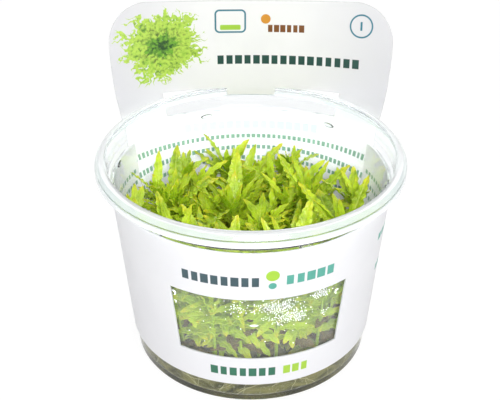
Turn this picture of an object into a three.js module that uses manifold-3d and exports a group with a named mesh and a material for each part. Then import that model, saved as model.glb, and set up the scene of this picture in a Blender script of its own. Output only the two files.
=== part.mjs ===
// Tissue culture downoi in its growing cup: eight rosettes rooted in a disc of gel, in a clear
// plastic cup with a card sleeve that rises behind the rim as a header.
// Millimetres, +Z up. The origin is the middle of the cup's base, and the front faces -Y.
import * as THREE from "three";
import { mergeVertices } from "three/addons/utils/BufferGeometryUtils.js";
import Module from "manifold-3d";

const wasm = await Module();
wasm.setup();

// Cup
const RIM_HEIGHT = 71;
const RIM_RADIUS = 50.3;
const RIM_INNER_RADIUS = 47;
const SKIRT_DROP = 5;
const SKIRT_THICKNESS = 0.8;
const LEDGE_HEIGHT = 63.3;
const BASE_RADIUS = 39.85;
const WALL_SLOPE = 0.083;
const WALL = 0.65;
const FOOT_RISE = 0.8;
const CUP_SIDES = 44;

// Card sleeve. Angles are in degrees round the cup from the back.
const CARD = 0.5;
const CARD_GAP = 0.32;
const SLEEVE_BOTTOM = 7.8;
const SLEEVE_TOP = 61.9;
const SLOT_BOTTOM = 62.4;
const SLOT_TOP = 71.4;
const HEADER_TOP = 103.4;
const HEADER_LEAN = 0.075;
const HEADER_BOW = 96;
const HEADER_FLATTENING = 0.22;
const HEADER_HALF_WIDTH = 49.8;
const HEADER_WIDEST = 90;
const HEADER_NECK = 2.7;
const HEADER_CORNER = 14;
const CORNER_TURNS = [30, 50, 70, 90];
const HEADER_EDGE = 61.5;
const SLIT_EDGE = 63;
const SLOT_EDGE = 40.4;
const TAB_EDGE = 11;
const TAB_BOTTOM = 68.9;
const WINDOW_EDGES = [139.2, 213.2];
const WINDOW_LEAN = 1.7;
const WINDOW_BOTTOM = 19.3;
const WINDOW_TOP = 44;
const CARD_STEP = 7.5;

// Gel
const GEL_TOP = 12.5;
const GEL_GAP = 0.3;
const SOCKET_DEPTH = 4;

// Plants. Leaf angles are in degrees, and a leaf's pitch is its climb where it leaves the stem.
const STEM_RADIUS = 1.2;
const STEM_SIDES = 6;
const STEM_SPREAD = 0.9;
const LEAF_GAP = 0.3;
const LEAF_START = 2.1;
const LEAF_THICKNESS = 0.75;
const LEAF_FOLD = 0.3;
const LEAF_WAVE = 0.13;
const LARGE_STEPS = 6;
const SMALL_STEPS = 4;
const WALL_CLEARANCE = 0.6;
const HIGHEST_TIP = 61;
const SHORTENINGS = [1, 0.88, 0.76, 0.64];
const LIFTS = [0, 7, 14, -7, 21, 28];
const SWINGS = [0, 7, -7, 14, -14, 21, -21, 28, -28, 35, -35, 42, -42, 49, -49];
const CROWN_WHORL = { leaves: 3, offset: 60, drop: 1.8, pitch: 62, droop: 20, length: 22, width: 4.6 };
const LOWER_WHORL = { leaves: 3, offset: 0, drop: 7, pitch: 46, droop: 46, length: 24, width: 5.2 };
const OLD_LEAVES = { leaves: 3, offset: 45, drop: 14, pitch: 26, droop: 50, length: 12, width: 3.6 };
const YOUNG_LEAVES = { leaves: 3, offset: 0, drop: 0.8, pitch: 72, droop: -8, length: 9, width: 2.4 };

// Each rosette: where its crown stands, and the turn of its first leaf.
const PLANTS = [
  { crown: [-6.5, 13.5, 38], turn: 20 },
  { crown: [20.5, 20.5, 39], turn: 75 },
  { crown: [-28, 18, 39], turn: 150 },
  { crown: [-3.5, 33, 37], turn: 215 },
  { crown: [32, -1, 39.5], turn: 100 },
  { crown: [-25, -9, 38], turn: 300 },
  { crown: [-9, -27, 36.5], turn: 10 },
  { crown: [13.5, -18, 38], turn: 130 },
];

const finish = (color, roughness, extra = {}) =>
  new THREE.MeshStandardMaterial({ color, roughness, metalness: 0, ...extra });
const CLEAR_PLASTIC = finish(0xe6ecec, 0.08, { transparent: true, opacity: 0.3 });
const WHITE_CARD = finish(0xf2f2f0, 0.55);
const OLIVE_GEL = finish(0x77764a, 0.25);
const STEM_GREEN = finish(0x7fa32c, 0.5);
const LEAF_GREEN = finish(0x8bbb1c, 0.45);
const YOUNG_GREEN = finish(0xb9d834, 0.45);

const UP = new THREE.Vector3(0, 0, 1);
const radians = THREE.MathUtils.degToRad;
const { clamp, lerp, smoothstep } = THREE.MathUtils;

// A number from 0 to 1 that looks random and is the same each time.
function chance(...seeds) {
  const mixed = seeds.reduce((sum, seed, i) => sum + seed * (12.9898 + 65.2432 * i), 0.37);
  const wave = Math.sin(mixed) * 43758.5453;
  return wave - Math.floor(wave);
}

// A chance that runs from -1 to 1.
const sway = (...seeds) => 2 * chance(...seeds) - 1;

// Values from first to last in equal steps no longer than step.
function spread(first, last, step) {
  const count = Math.ceil((last - first) / step - 1e-6);
  return Array.from({ length: count + 1 }, (_, i) => lerp(first, last, i / count));
}

// A closed geometry as a solid for joins and cuts.
function solidOf(geometry) {
  const bare = geometry.clone();
  bare.deleteAttribute("normal");
  bare.deleteAttribute("uv");
  const merged = mergeVertices(bare, 1e-3);
  return new wasm.Manifold(
    new wasm.Mesh({
      numProp: 3,
      vertProperties: merged.attributes.position.array,
      triVerts: new Uint32Array(merged.index.array),
    }),
  );
}

function geometryOf(solid) {
  const mesh = solid.getMesh();
  const geometry = new THREE.BufferGeometry();
  geometry.setAttribute("position", new THREE.BufferAttribute(mesh.vertProperties, 3));
  geometry.setIndex(new THREE.BufferAttribute(mesh.triVerts, 1));
  geometry.computeVertexNormals();
  return geometry;
}

function named(name, geometry, material) {
  const mesh = new THREE.Mesh(geometry, material);
  mesh.name = name;
  return mesh;
}

// A profile of [radius, height] pairs turned about the upright axis.
function turned(profile, sides) {
  const points = profile.map(([radius, height]) => new THREE.Vector2(radius, height));
  return new THREE.LatheGeometry(points, sides).rotateX(Math.PI / 2);
}

// Radii of the cup's tapered wall.
const wallRadius = (height) => BASE_RADIUS + WALL_SLOPE * height;
const innerRadius = (height) => wallRadius(height) - WALL;

// The cup: a foot ring, a tapered wall, a ledge, and a rim that turns down into a skirt.
function makeCup() {
  const skirtBottom = RIM_HEIGHT - SKIRT_DROP;
  const ledgeOuter = LEDGE_HEIGHT - WALL;
  const floorTop = FOOT_RISE + WALL;
  const profile = [
    [0, FOOT_RISE],
    [34.6, FOOT_RISE],
    [35.4, 0],
    [39.9, 0],
    [40.05, 0.3],
    [wallRadius(3), 3],
    [wallRadius(ledgeOuter), ledgeOuter],
    [46.75, 63.7],
    [47.5, 69.6],
    [RIM_RADIUS - SKIRT_THICKNESS, 68.4],
    [RIM_RADIUS - SKIRT_THICKNESS, skirtBottom],
    [RIM_RADIUS, skirtBottom],
    [RIM_RADIUS, 69],
    [48.8, RIM_HEIGHT],
    [RIM_INNER_RADIUS, RIM_HEIGHT],
    [46.1, 64.1],
    [innerRadius(LEDGE_HEIGHT), LEDGE_HEIGHT],
    [innerRadius(2.4), 2.4],
    [38.2, floorTop],
    [0, floorTop],
  ];
  return named("cup", turned(profile, CUP_SIDES), CLEAR_PLASTIC);
}

// Half of the header's width along the card, which narrows to a neck at the slot.
function headerHalfWidth(height) {
  const below = clamp((HEADER_WIDEST - height) / (HEADER_WIDEST - SLOT_BOTTOM), 0, 1);
  return HEADER_HALF_WIDTH - HEADER_NECK * below ** 2;
}

// Where a point of the card lies, out from its inner face. Low down the card follows the cup.
// Above the slits the header opens out into a shallow bow that passes the rim beside the slot,
// and flattens towards its top.
function cardPoint(angle, height, out) {
  const turn = radians(angle);
  const radius = wallRadius(height) + CARD_GAP + out;
  const point = new THREE.Vector3(radius * Math.sin(turn), radius * Math.cos(turn), height);
  const opening = smoothstep(height, WINDOW_TOP, SLOT_BOTTOM);
  if (Math.abs(angle) > HEADER_EDGE || opening === 0) return point;
  const rise = clamp((height - SLOT_BOTTOM) / (HEADER_TOP - SLOT_BOTTOM), 0, 1);
  const bow = HEADER_BOW / lerp(1, HEADER_FLATTENING, rise);
  const lean = HEADER_LEAN * Math.max(0, height - SLOT_TOP);
  const back = wallRadius(SLOT_BOTTOM) + CARD_GAP + lean;
  const sweep = ((angle / HEADER_EDGE) * headerHalfWidth(height)) / bow;
  const bowed = new THREE.Vector3(
    (bow + out) * Math.sin(sweep),
    back - bow + (bow + out) * Math.cos(sweep),
    height,
  );
  return point.lerp(bowed, opening);
}

// Height of the header's top edge, which is level with rounded corners.
function headerTop(angle) {
  const fromSide = (1 - Math.abs(angle) / HEADER_EDGE) * HEADER_HALF_WIDTH;
  const inset = clamp(HEADER_CORNER - fromSide, 0, HEADER_CORNER - 0.1);
  return HEADER_TOP - HEADER_CORNER + Math.sqrt(HEADER_CORNER ** 2 - inset ** 2);
}

// A closed sheet from a ring of cells: both faces of each cell that is there, and a wall along
// each edge with no neighbour. place(column, row, out) gives a corner.
function cellSheet(columns, rows, isThere, place) {
  const positions = [];
  const quad = (a, b, c, d) => [a, b, c, a, c, d].forEach((p) => positions.push(p.x, p.y, p.z));
  for (let i = 0; i < columns; i++)
    for (let j = 0; j < rows; j++) {
      if (!isThere(i, j)) continue;
      const corners = [[i, j], [i + 1, j], [i + 1, j + 1], [i, j + 1]];
      const [inner, outer] = [0, CARD].map((out) => corners.map(([c, r]) => place(c, r, out)));
      quad(...inner);
      quad(...outer.toReversed());
      const neighbours = [[i, j - 1], [i + 1, j], [i, j + 1], [i - 1, j]];
      neighbours.forEach(([column, row], from) => {
        const to = (from + 1) % 4;
        const joined = row >= 0 && row < rows && isThere((column + columns) % columns, row);
        if (!joined) quad(outer[from], outer[to], inner[to], inner[from]);
      });
    }
  const geometry = new THREE.BufferGeometry();
  geometry.setAttribute("position", new THREE.Float32BufferAttribute(positions, 3));
  return geometry;
}

// The angle of a column at a height. The window's two sides lean outwards towards its top.
function leaningAngle(angle, height) {
  const side = WINDOW_EDGES.indexOf(angle);
  const end = [WINDOW_BOTTOM, WINDOW_TOP].indexOf(height);
  return side < 0 || end < 0 ? angle : angle + ((2 * side - 1) * (2 * end - 1) * WINDOW_LEAN) / 2;
}

// The sleeve is one card: a band round the cup with a window, slit free from the header, which
// has a slot for the rim with a tab that hangs in it.
function makeSleeve() {
  const cornerInsets = CORNER_TURNS.map((turn) => HEADER_CORNER * (1 - Math.cos(radians(turn))));
  const cornerColumns = cornerInsets.map((inset) => HEADER_EDGE * (1 - inset / HEADER_HALF_WIDTH));
  const edges = [-TAB_EDGE, TAB_EDGE, SLOT_EDGE];
  const slotColumns = [[-SLOT_EDGE, -TAB_EDGE], [-TAB_EDGE, TAB_EDGE], [TAB_EDGE, SLOT_EDGE]];
  const bandColumns = [[SLIT_EDGE, WINDOW_EDGES[0]], WINDOW_EDGES, [WINDOW_EDGES[1], 360 - SLIT_EDGE]];
  const spans = [...slotColumns, ...bandColumns].flatMap(([from, to]) => spread(from, to, CARD_STEP));
  const sides = [HEADER_EDGE, ...cornerColumns].flatMap((angle) => [-angle, angle]);
  const angles = [...new Set([...edges, ...spans, ...sides])].sort((a, b) => a - b);
  const heights = [SLEEVE_BOTTOM, WINDOW_BOTTOM, WINDOW_TOP, 50, 56, SLEEVE_TOP, SLOT_BOTTOM];
  heights.push(TAB_BOTTOM, SLOT_TOP, 81.5, HEADER_TOP - HEADER_CORNER, HEADER_TOP);

  const rows = heights.length - 1;
  const angleAt = (i) => (i < angles.length ? angles[i] : angles[i - angles.length] + 360);
  const isCard = (i, j) => {
    const angle = (angleAt(i) + angleAt(i + 1)) / 2;
    const height = (heights[j] + heights[j + 1]) / 2;
    const fromBack = Math.min(Math.abs(angle), Math.abs(360 - angle));
    if (fromBack > HEADER_EDGE && height > SLEEVE_TOP) return false;
    if (fromBack > HEADER_EDGE && fromBack < SLIT_EDGE) return height < WINDOW_TOP;
    const inWindow = angle > WINDOW_EDGES[0] && angle < WINDOW_EDGES[1];
    if (inWindow && height > WINDOW_BOTTOM && height < WINDOW_TOP) return false;
    const slotTop = fromBack < TAB_EDGE ? TAB_BOTTOM : SLOT_TOP;
    return !(fromBack < SLOT_EDGE && height > SLOT_BOTTOM && height < slotTop);
  };
  const place = (i, j, out) => {
    const angle = i < angles.length ? angles[i] : angles[0];
    const height = j === rows ? headerTop(angle) : heights[j];
    return cardPoint(leaningAngle(angle, height), height, out);
  };
  const geometry = cellSheet(angles.length, rows, isCard, place);
  return named("sleeve", geometryOf(solidOf(geometry)), WHITE_CARD);
}

// Turns a point of a unit CylinderGeometry into a point of a tube along a straight line.
function straightTube(foot, top, radius, sides) {
  const axis = new THREE.Vector3().subVectors(top, foot);
  const geometry = new THREE.CylinderGeometry(radius, radius, axis.length(), sides);
  const turn = new THREE.Quaternion().setFromUnitVectors(new THREE.Vector3(0, 1, 0), axis.clone().normalize());
  return geometry.applyQuaternion(turn).translate(...foot.clone().lerp(top, 0.5));
}

// The point of a plant's stem at a height.
function stemPoint(plant, height) {
  const [x, y, crown] = plant.crown;
  const share = lerp(STEM_SPREAD, 1, (height - GEL_TOP) / (crown - GEL_TOP));
  return new THREE.Vector3(x * share, y * share, height);
}

// A leaf: a thin lens-shaped section run along an arc that bends down towards the tip, with
// scalloped margins and a fold along the midrib. extra thickens it, to test for room.
function leafGeometry(leaf, extra = 0) {
  const { root, turn, pitch, droop, length, width, roll, steps } = leaf;
  const heading = new THREE.Vector3(Math.cos(radians(turn)), Math.sin(radians(turn)), 0);
  const stations = [];
  const spine = root.clone();
  for (let k = 0; k <= steps; k++) {
    const climb = radians(pitch - droop * (k / steps));
    const along = heading.clone().multiplyScalar(Math.cos(climb)).addScaledVector(UP, Math.sin(climb));
    const across = new THREE.Vector3().crossVectors(along, UP).normalize().applyAxisAngle(along, radians(roll));
    const through = new THREE.Vector3().crossVectors(across, along);
    const wave = k % 2 ? 1 + LEAF_WAVE : 1 - LEAF_WAVE;
    const taper = 0.16 + 0.84 * Math.sin(Math.PI * clamp(0.08 + 0.92 * (k / steps), 0, 1)) ** 0.8;
    const halfWidth = (width / 2) * taper * wave;
    const halfThickness = (LEAF_THICKNESS / 2) * lerp(0.55, 1, taper);
    stations.push({ spine: spine.clone(), across, through, halfWidth, halfThickness });
    spine.addScaledVector(along, length / steps);
  }
  const geometry = new THREE.CylinderGeometry(1, 1, 1, 4, steps);
  const position = geometry.attributes.position;
  for (let i = 0; i < position.count; i++) {
    const station = stations[Math.round((position.getY(i) + 0.5) * steps)];
    const side = position.getX(i);
    const lift = position.getZ(i) * (station.halfThickness + extra);
    const fold = LEAF_FOLD * Math.abs(side) * station.halfWidth;
    const point = station.spine
      .clone()
      .addScaledVector(station.across, side * (station.halfWidth + extra))
      .addScaledVector(station.through, lift + fold);
    position.setXYZ(i, ...point);
  }
  return geometry;
}

// A leaf of a whorl on a plant, before it is fitted in among the others.
function whorlLeaf(plant, index, whorl, k, steps) {
  const height = plant.crown[2] - whorl.drop - 0.6 * Math.abs(sway(index, k, 1));
  const turn = plant.turn + whorl.offset + (360 / whorl.leaves) * k + 8 * sway(index, k, 2);
  return {
    foot: stemPoint(plant, height),
    turn,
    pitch: whorl.pitch + 6 * sway(index, k, 3),
    droop: whorl.droop + 8 * sway(index, k, 4),
    length: whorl.length * (1 + 0.1 * sway(index, k, 5)),
    width: whorl.width * (1 + 0.08 * sway(index, k, 6)),
    roll: 12 * sway(index, k, 7),
    steps,
  };
}

// Whether a leaf's points all lie inside the cup and below the tallest tip.
function fitsCup(geometry) {
  const position = geometry.attributes.position;
  const point = new THREE.Vector3();
  for (let i = 0; i < position.count; i++) {
    point.fromBufferAttribute(position, i);
    if (point.z > HIGHEST_TIP) return false;
    if (Math.hypot(point.x, point.y) > innerRadius(point.z) - WALL_CLEARANCE) return false;
  }
  return true;
}

// Turns, lifts and shortens a leaf by small steps until it stands clear of what is there.
function settle(leaf, start, obstacles) {
  for (const shorten of SHORTENINGS)
    for (const lift of LIFTS)
      for (const swing of SWINGS) {
        const turn = leaf.turn + swing;
        const heading = new THREE.Vector3(Math.cos(radians(turn)), Math.sin(radians(turn)), 0);
        const root = leaf.foot.clone().addScaledVector(heading, start);
        const tried = { ...leaf, root, turn, pitch: leaf.pitch + lift, length: leaf.length * shorten };
        const roomy = leafGeometry(tried, LEAF_GAP);
        if (!fitsCup(roomy)) continue;
        const solid = solidOf(roomy);
        if (obstacles.every((obstacle) => solid.intersect(obstacle).isEmpty())) return tried;
      }
  throw new Error("no room for a leaf");
}

// Grows every plant. Stems stand first, with their small leaves fused to them, then the large
// leaves are fitted in one whorl at a time, so that none touches another.
function makePlants() {
  const stems = PLANTS.map((plant) => {
    const foot = stemPoint(plant, GEL_TOP - SOCKET_DEPTH + GEL_GAP);
    const top = stemPoint(plant, plant.crown[2]);
    return solidOf(straightTube(foot, top, STEM_RADIUS, STEM_SIDES));
  });
  for (const whorl of [YOUNG_LEAVES, OLD_LEAVES])
    PLANTS.forEach((plant, index) => {
      for (let k = 0; k < whorl.leaves; k++) {
        const others = stems.filter((_, other) => other !== index);
        const leaf = settle(whorlLeaf(plant, index, whorl, k, SMALL_STEPS), 0.3, others);
        stems[index] = stems[index].add(solidOf(leafGeometry(leaf)));
      }
    });
  const leaves = PLANTS.map(() => []);
  const placed = [...stems];
  for (const whorl of [CROWN_WHORL, LOWER_WHORL])
    for (let k = 0; k < whorl.leaves; k++)
      PLANTS.forEach((plant, index) => {
        const wanted = whorlLeaf(plant, index, whorl, k, LARGE_STEPS);
        const leaf = settle(wanted, LEAF_START, placed);
        const geometry = leafGeometry(leaf);
        placed.push(solidOf(geometry));
        leaves[index].push({ geometry, material: whorl === CROWN_WHORL ? YOUNG_GREEN : LEAF_GREEN });
      });
  return PLANTS.map((_, index) => {
    const name = `plant_${index + 1}`;
    const plant = new THREE.Group();
    plant.add(named(`${name}_stem`, geometryOf(stems[index]), STEM_GREEN));
    leaves[index].forEach(({ geometry, material }, k) =>
      plant.add(named(`${name}_leaf_${k + 1}`, geometry, material)),
    );
    return plant;
  });
}

// The disc of gel that the stems are rooted in, with a socket for each stem.
function makeGel() {
  const floorTop = FOOT_RISE + WALL + GEL_GAP;
  const profile = [
    [0, floorTop],
    [37.9, floorTop],
    [innerRadius(3) - GEL_GAP, 3],
    [innerRadius(GEL_TOP) - GEL_GAP, GEL_TOP],
    [0, GEL_TOP],
  ];
  const sockets = PLANTS.map((plant) => {
    const foot = stemPoint(plant, GEL_TOP - SOCKET_DEPTH);
    const top = stemPoint(plant, GEL_TOP + 1);
    return solidOf(straightTube(foot, top, STEM_RADIUS + GEL_GAP, STEM_SIDES));
  });
  const disc = solidOf(turned(profile, CUP_SIDES));
  const gel = sockets.reduce((solid, socket) => solid.subtract(socket), disc);
  return named("nutrient_gel", geometryOf(gel), OLIVE_GEL);
}

const downoiCup = new THREE.Group();
downoiCup.add(makeCup(), makeSleeve(), makeGel(), ...makePlants());

export default downoiCup;
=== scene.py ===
"""Tissue culture downoi in its growing cup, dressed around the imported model.

Lengths are written in millimetres and turned into metres as each piece is made. Angles round the
cup are in degrees from the back, and run to the right as seen from the front.
"""

import logging
import math
import random
from collections.abc import Iterable, Sequence
from dataclasses import dataclass, field
from enum import Enum

import bmesh
import bpy
from mathutils import Matrix, Quaternion, Vector
from mathutils.bvhtree import BVHTree


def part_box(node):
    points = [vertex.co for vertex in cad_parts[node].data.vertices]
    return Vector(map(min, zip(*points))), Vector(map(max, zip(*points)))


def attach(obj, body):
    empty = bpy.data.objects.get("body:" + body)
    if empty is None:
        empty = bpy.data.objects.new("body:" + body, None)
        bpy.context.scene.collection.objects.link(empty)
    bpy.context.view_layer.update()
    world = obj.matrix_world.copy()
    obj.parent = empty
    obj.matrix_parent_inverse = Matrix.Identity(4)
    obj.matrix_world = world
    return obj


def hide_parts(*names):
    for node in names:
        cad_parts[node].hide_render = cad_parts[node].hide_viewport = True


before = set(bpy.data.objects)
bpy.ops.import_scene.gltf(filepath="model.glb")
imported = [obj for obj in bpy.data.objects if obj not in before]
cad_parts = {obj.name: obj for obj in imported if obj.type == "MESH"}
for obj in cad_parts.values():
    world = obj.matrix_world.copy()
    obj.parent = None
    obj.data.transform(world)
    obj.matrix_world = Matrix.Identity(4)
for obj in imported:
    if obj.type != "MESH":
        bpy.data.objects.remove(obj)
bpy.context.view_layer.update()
LOG = logging.getLogger("downoi_cup")

MM = 0.001
BODY = "root"
UP = Vector((0.0, 0.0, 1.0))
LIGHT_AIM = 55.0
PLANTS = range(1, 9)
LEAVES = range(1, 7)
YOUNG_LEAVES = 3
GEL_TOP = 12.5
GOLDEN_ANGLE = 137.5
MERGE_DISTANCE = 0.002 * MM

# The flat print: where the front's middle lies across the card, and its millimetres in a degree.
PRINT_ORIGIN = 200.0
MM_PER_DEGREE = 0.759
CARE_HEIGHTS = (52.3, 48.0, 43.8, 39.3)

Colour = tuple[float, float, float, float]
Socket = bpy.types.NodeSocket
WHITE: Colour = (1.0, 1.0, 1.0, 1.0)
SURFACE = {"Colour": "Color", "Height": "Float", "Roughness": "Float"}


class Slot(Enum):
    """The record's material slots."""

    CLEAR = "clear_plastic"
    CARD = "card"
    GEL = "gel"
    STEM = "stem"
    YOUNG_LEAF = "young_leaf"
    LEAF = "leaf"


class Ink(Enum):
    """Colours of the marks printed on the card, as red, green and blue from 0 to 255."""

    SLATE = (58, 84, 92)
    TEAL = (86, 168, 152)
    LIME = (165, 205, 60)
    FOREST = (38, 110, 84)
    PINE = (28, 76, 66)
    AMBER = (214, 150, 40)
    UMBER = (128, 78, 24)
    OCEAN = (40, 120, 140)
    MEADOW = (76, 142, 112)
    MINT = (190, 226, 204)
    MIST = (212, 218, 216)


def linear(red: float, green: float, blue: float) -> Colour:
    """Turns a screen colour into the linear colour that a shader takes.

    Args:
        red: Red, from 0 to 255.
        green: Green, from 0 to 255.
        blue: Blue, from 0 to 255.

    Returns:
        The linear colour, with an alpha of 1.
    """

    def one(share: float) -> float:
        """Turns one channel, from 0 to 1, into its linear value."""
        return share / 12.92 if share <= 0.04045 else ((share + 0.055) / 1.055) ** 2.4

    return (one(red / 255), one(green / 255), one(blue / 255), 1.0)


def clamp(value: float, low: float = 0.0, high: float = 1.0) -> float:
    """Keeps a value between low and high."""
    return max(low, min(high, value))


def lerp(start: float, end: float, share: float) -> float:
    """Returns the value at a share of the way from start to end."""
    return start + (end - start) * share


def around(turn: float, radius: float, height: float) -> Vector:
    """Returns the place at an angle in radians from the back, a radius and a height."""
    return Vector((radius * math.sin(turn), radius * math.cos(turn), height))


def level_direction(degrees: float) -> Vector:
    """Returns the level direction at an angle in degrees from +X."""
    turn = math.radians(degrees)
    return Vector((math.cos(turn), math.sin(turn), 0.0))


def smoothstep(value: float, low: float, high: float) -> float:
    """Rises smoothly from 0 at low to 1 at high."""
    share = clamp((value - low) / (high - low))
    return share * share * (3 - 2 * share)


def add_object(name: str, data: bpy.types.ID) -> bpy.types.Object:
    """Makes an object of the scene from its data."""
    item = bpy.data.objects.new(name, data)
    bpy.context.scene.collection.objects.link(item)
    return item


class Graph:
    """Writes the nodes of one shader tree."""

    def __init__(self, tree: bpy.types.NodeTree) -> None:
        """Takes the tree to write in."""
        self.tree = tree

    def add(self, kind: str, settings: dict | None = None, inputs: dict | None = None) -> bpy.types.Node:
        """Adds a node.

        Args:
            kind: The node's type name.
            settings: Values of the node's own properties.
            inputs: Values, or sockets to link, by input name or number.

        Returns:
            The new node.
        """
        node = self.tree.nodes.new(kind)
        for name, value in (settings or {}).items():
            setattr(node, name, value)
        self.dress(node, inputs or {})
        return node

    def feed(self, socket: Socket, value: object) -> None:
        """Links a socket to an input, or sets the input's own value."""
        if isinstance(value, Socket):
            self.tree.links.new(value, socket)
        else:
            socket.default_value = value

    def dress(self, node: bpy.types.Node, values: dict) -> None:
        """Links or sets several inputs of a node, by name or number."""
        for key, value in values.items():
            self.feed(node.inputs[key], value)

    def math(self, operation: str, *values: object, clamped: bool = False) -> Socket:
        """Adds a Math node over the values and returns its result."""
        inputs = dict(enumerate(values))
        return self.add("ShaderNodeMath", {"operation": operation, "use_clamp": clamped}, inputs).outputs[0]

    def vector(self, operation: str, *values: object) -> Socket:
        """Adds a Vector Math node over the values and returns its vector, or its length."""
        node = self.add("ShaderNodeVectorMath", {"operation": operation}, dict(enumerate(values)))
        return node.outputs["Value" if operation == "LENGTH" else "Vector"]

    def ramp(self, value: object, low: float, high: float, start: float = 0.0, end: float = 1.0) -> Socket:
        """Maps a value smoothly, from start at low to end at high."""
        settings = {"interpolation_type": "SMOOTHSTEP"}
        inputs = {"Value": value, "From Min": low, "From Max": high, "To Min": start, "To Max": end}
        return self.add("ShaderNodeMapRange", settings, inputs).outputs["Result"]

    def mix(self, share: object, first: object, second: object) -> Socket:
        """Mixes two colours, by the node's inputs and output for colours, and returns the result."""
        inputs = {0: share, 6: first, 7: second}
        return self.add("ShaderNodeMix", {"data_type": "RGBA"}, inputs).outputs[2]

    def split(self, vector: object) -> Sequence[Socket]:
        """Splits a vector into its X, Y and Z."""
        return self.add("ShaderNodeSeparateXYZ", inputs={0: vector}).outputs

    def noise(self, place: object, scale: float, detail: float = 2.0, distortion: float = 0.0) -> Socket:
        """Adds a Noise Texture and returns its value."""
        inputs = {"Vector": place, "Scale": scale, "Detail": detail, "Distortion": distortion}
        return self.add("ShaderNodeTexNoise", inputs=inputs).outputs["Fac"]

    def spread(self, noise: Socket, start: float, end: float) -> Socket:
        """Maps the range that a noise mostly keeps to, from start to end."""
        return self.ramp(noise, 0.3, 0.7, start, end)

    def chance(self, number: Socket) -> bpy.types.Node:
        """Adds a white noise, which gives each whole number a value and a colour of its own."""
        return self.add("ShaderNodeTexWhiteNoise", {"noise_dimensions": "1D"}, {"W": number})

    def object_place(self) -> Socket:
        """Returns the object coordinates, in metres."""
        return self.add("ShaderNodeTexCoord").outputs["Object"]

    def attribute(self, name: str) -> Socket:
        """Returns the value of one of the mesh's own attributes."""
        return self.add("ShaderNodeAttribute", {"attribute_name": name}).outputs["Fac"]

    def uv(self) -> Socket:
        """Returns the mesh's own UV map."""
        return self.add("ShaderNodeUVMap", {"uv_map": "UVMap"}).outputs["UV"]

    def use(self, group: bpy.types.NodeTree, inputs: dict) -> bpy.types.Node:
        """Places a node group with its own values and returns its node."""
        return self.add("ShaderNodeGroup", {"node_tree": group}, inputs)

    def bump(self, height: Socket, strength: float, distance: float) -> Socket:
        """Adds a Bump node and returns its normal."""
        inputs = {"Height": height, "Strength": strength, "Distance": distance}
        return self.add("ShaderNodeBump", inputs=inputs).outputs["Normal"]


class Effect:
    """A shader node group with named inputs and outputs, built once."""

    def __init__(self, name: str, inputs: dict[str, str], outputs: dict[str, str]) -> None:
        """Makes the group's tree.

        Args:
            name: The group's name.
            inputs: Socket kind, such as Float, by input name.
            outputs: Socket kind by output name.
        """
        self.tree = bpy.data.node_groups.new(name, "ShaderNodeTree")
        for way, sockets in (("INPUT", inputs), ("OUTPUT", outputs)):
            for socket, kind in sockets.items():
                self.tree.interface.new_socket(socket, in_out=way, socket_type=f"NodeSocket{kind}")
        self.graph = Graph(self.tree)
        self.given = self.graph.add("NodeGroupInput").outputs
        self.made = self.graph.add("NodeGroupOutput").inputs


def box_distance_effect() -> bpy.types.NodeTree:
    """Makes the group that measures how far a place lies outside a rounded box."""
    inputs = {"Place": "Vector", "Centre": "Vector", "Half Size": "Vector", "Corner": "Float"}
    effect = Effect("box distance", inputs, {"Distance": "Float"})
    graph, given = effect.graph, effect.given
    away = graph.vector("ABSOLUTE", graph.vector("SUBTRACT", given["Place"], given["Centre"]))
    past = graph.vector("SUBTRACT", away, given["Half Size"])
    parts = graph.split(past)
    across = graph.math("ADD", parts[0], given["Corner"])
    along = graph.math("ADD", parts[1], given["Corner"])
    inside = graph.math("MINIMUM", graph.math("MAXIMUM", across, along), 0.0)
    wide = graph.math("MAXIMUM", across, 0.0)
    tall = graph.math("MAXIMUM", along, 0.0)
    squares = graph.math("ADD", graph.math("POWER", wide, 2.0), graph.math("POWER", tall, 2.0))
    outside = graph.math("SQRT", squares)
    total = graph.math("SUBTRACT", graph.math("ADD", inside, outside), given["Corner"])
    graph.feed(effect.made["Distance"], total)
    return effect.tree


def dash_row_effect(box_distance: bpy.types.NodeTree) -> bpy.types.NodeTree:
    """Makes the group that masks a row of dashes of uneven length."""
    inputs = {
        "Place": "Vector",
        "Centre": "Vector",
        "Half Size": "Vector",
        "Pitch": "Float",
        "Gap": "Float",
        "Seed": "Float",
    }
    effect = Effect("dash row", inputs, {"Mask": "Float"})
    graph, given = effect.graph, effect.given
    band = {name: given[name] for name in ("Place", "Centre", "Half Size")}
    distance = graph.use(box_distance, {**band, "Corner": 0.0}).outputs[0]
    inside = graph.ramp(distance, 0.08, -0.08)
    left = graph.vector("SUBTRACT", given["Centre"], given["Half Size"])
    from_left = graph.vector("SUBTRACT", given["Place"], left)
    across = graph.split(from_left)[0]
    step = graph.math("DIVIDE", across, given["Pitch"])
    cell = graph.math("ADD", graph.math("FLOOR", step), given["Seed"])
    chance = graph.chance(cell).outputs["Value"]
    end = graph.math("SUBTRACT", 0.5, graph.math("MULTIPLY_ADD", chance, 0.1, given["Gap"]))
    from_middle = graph.math("ABSOLUTE", graph.math("SUBTRACT", graph.math("FRACT", step), 0.5))
    dash = graph.ramp(graph.math("SUBTRACT", end, from_middle), 0.0, 0.03)
    graph.feed(effect.made["Mask"], graph.math("MULTIPLY", inside, dash))
    return effect.tree


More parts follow.
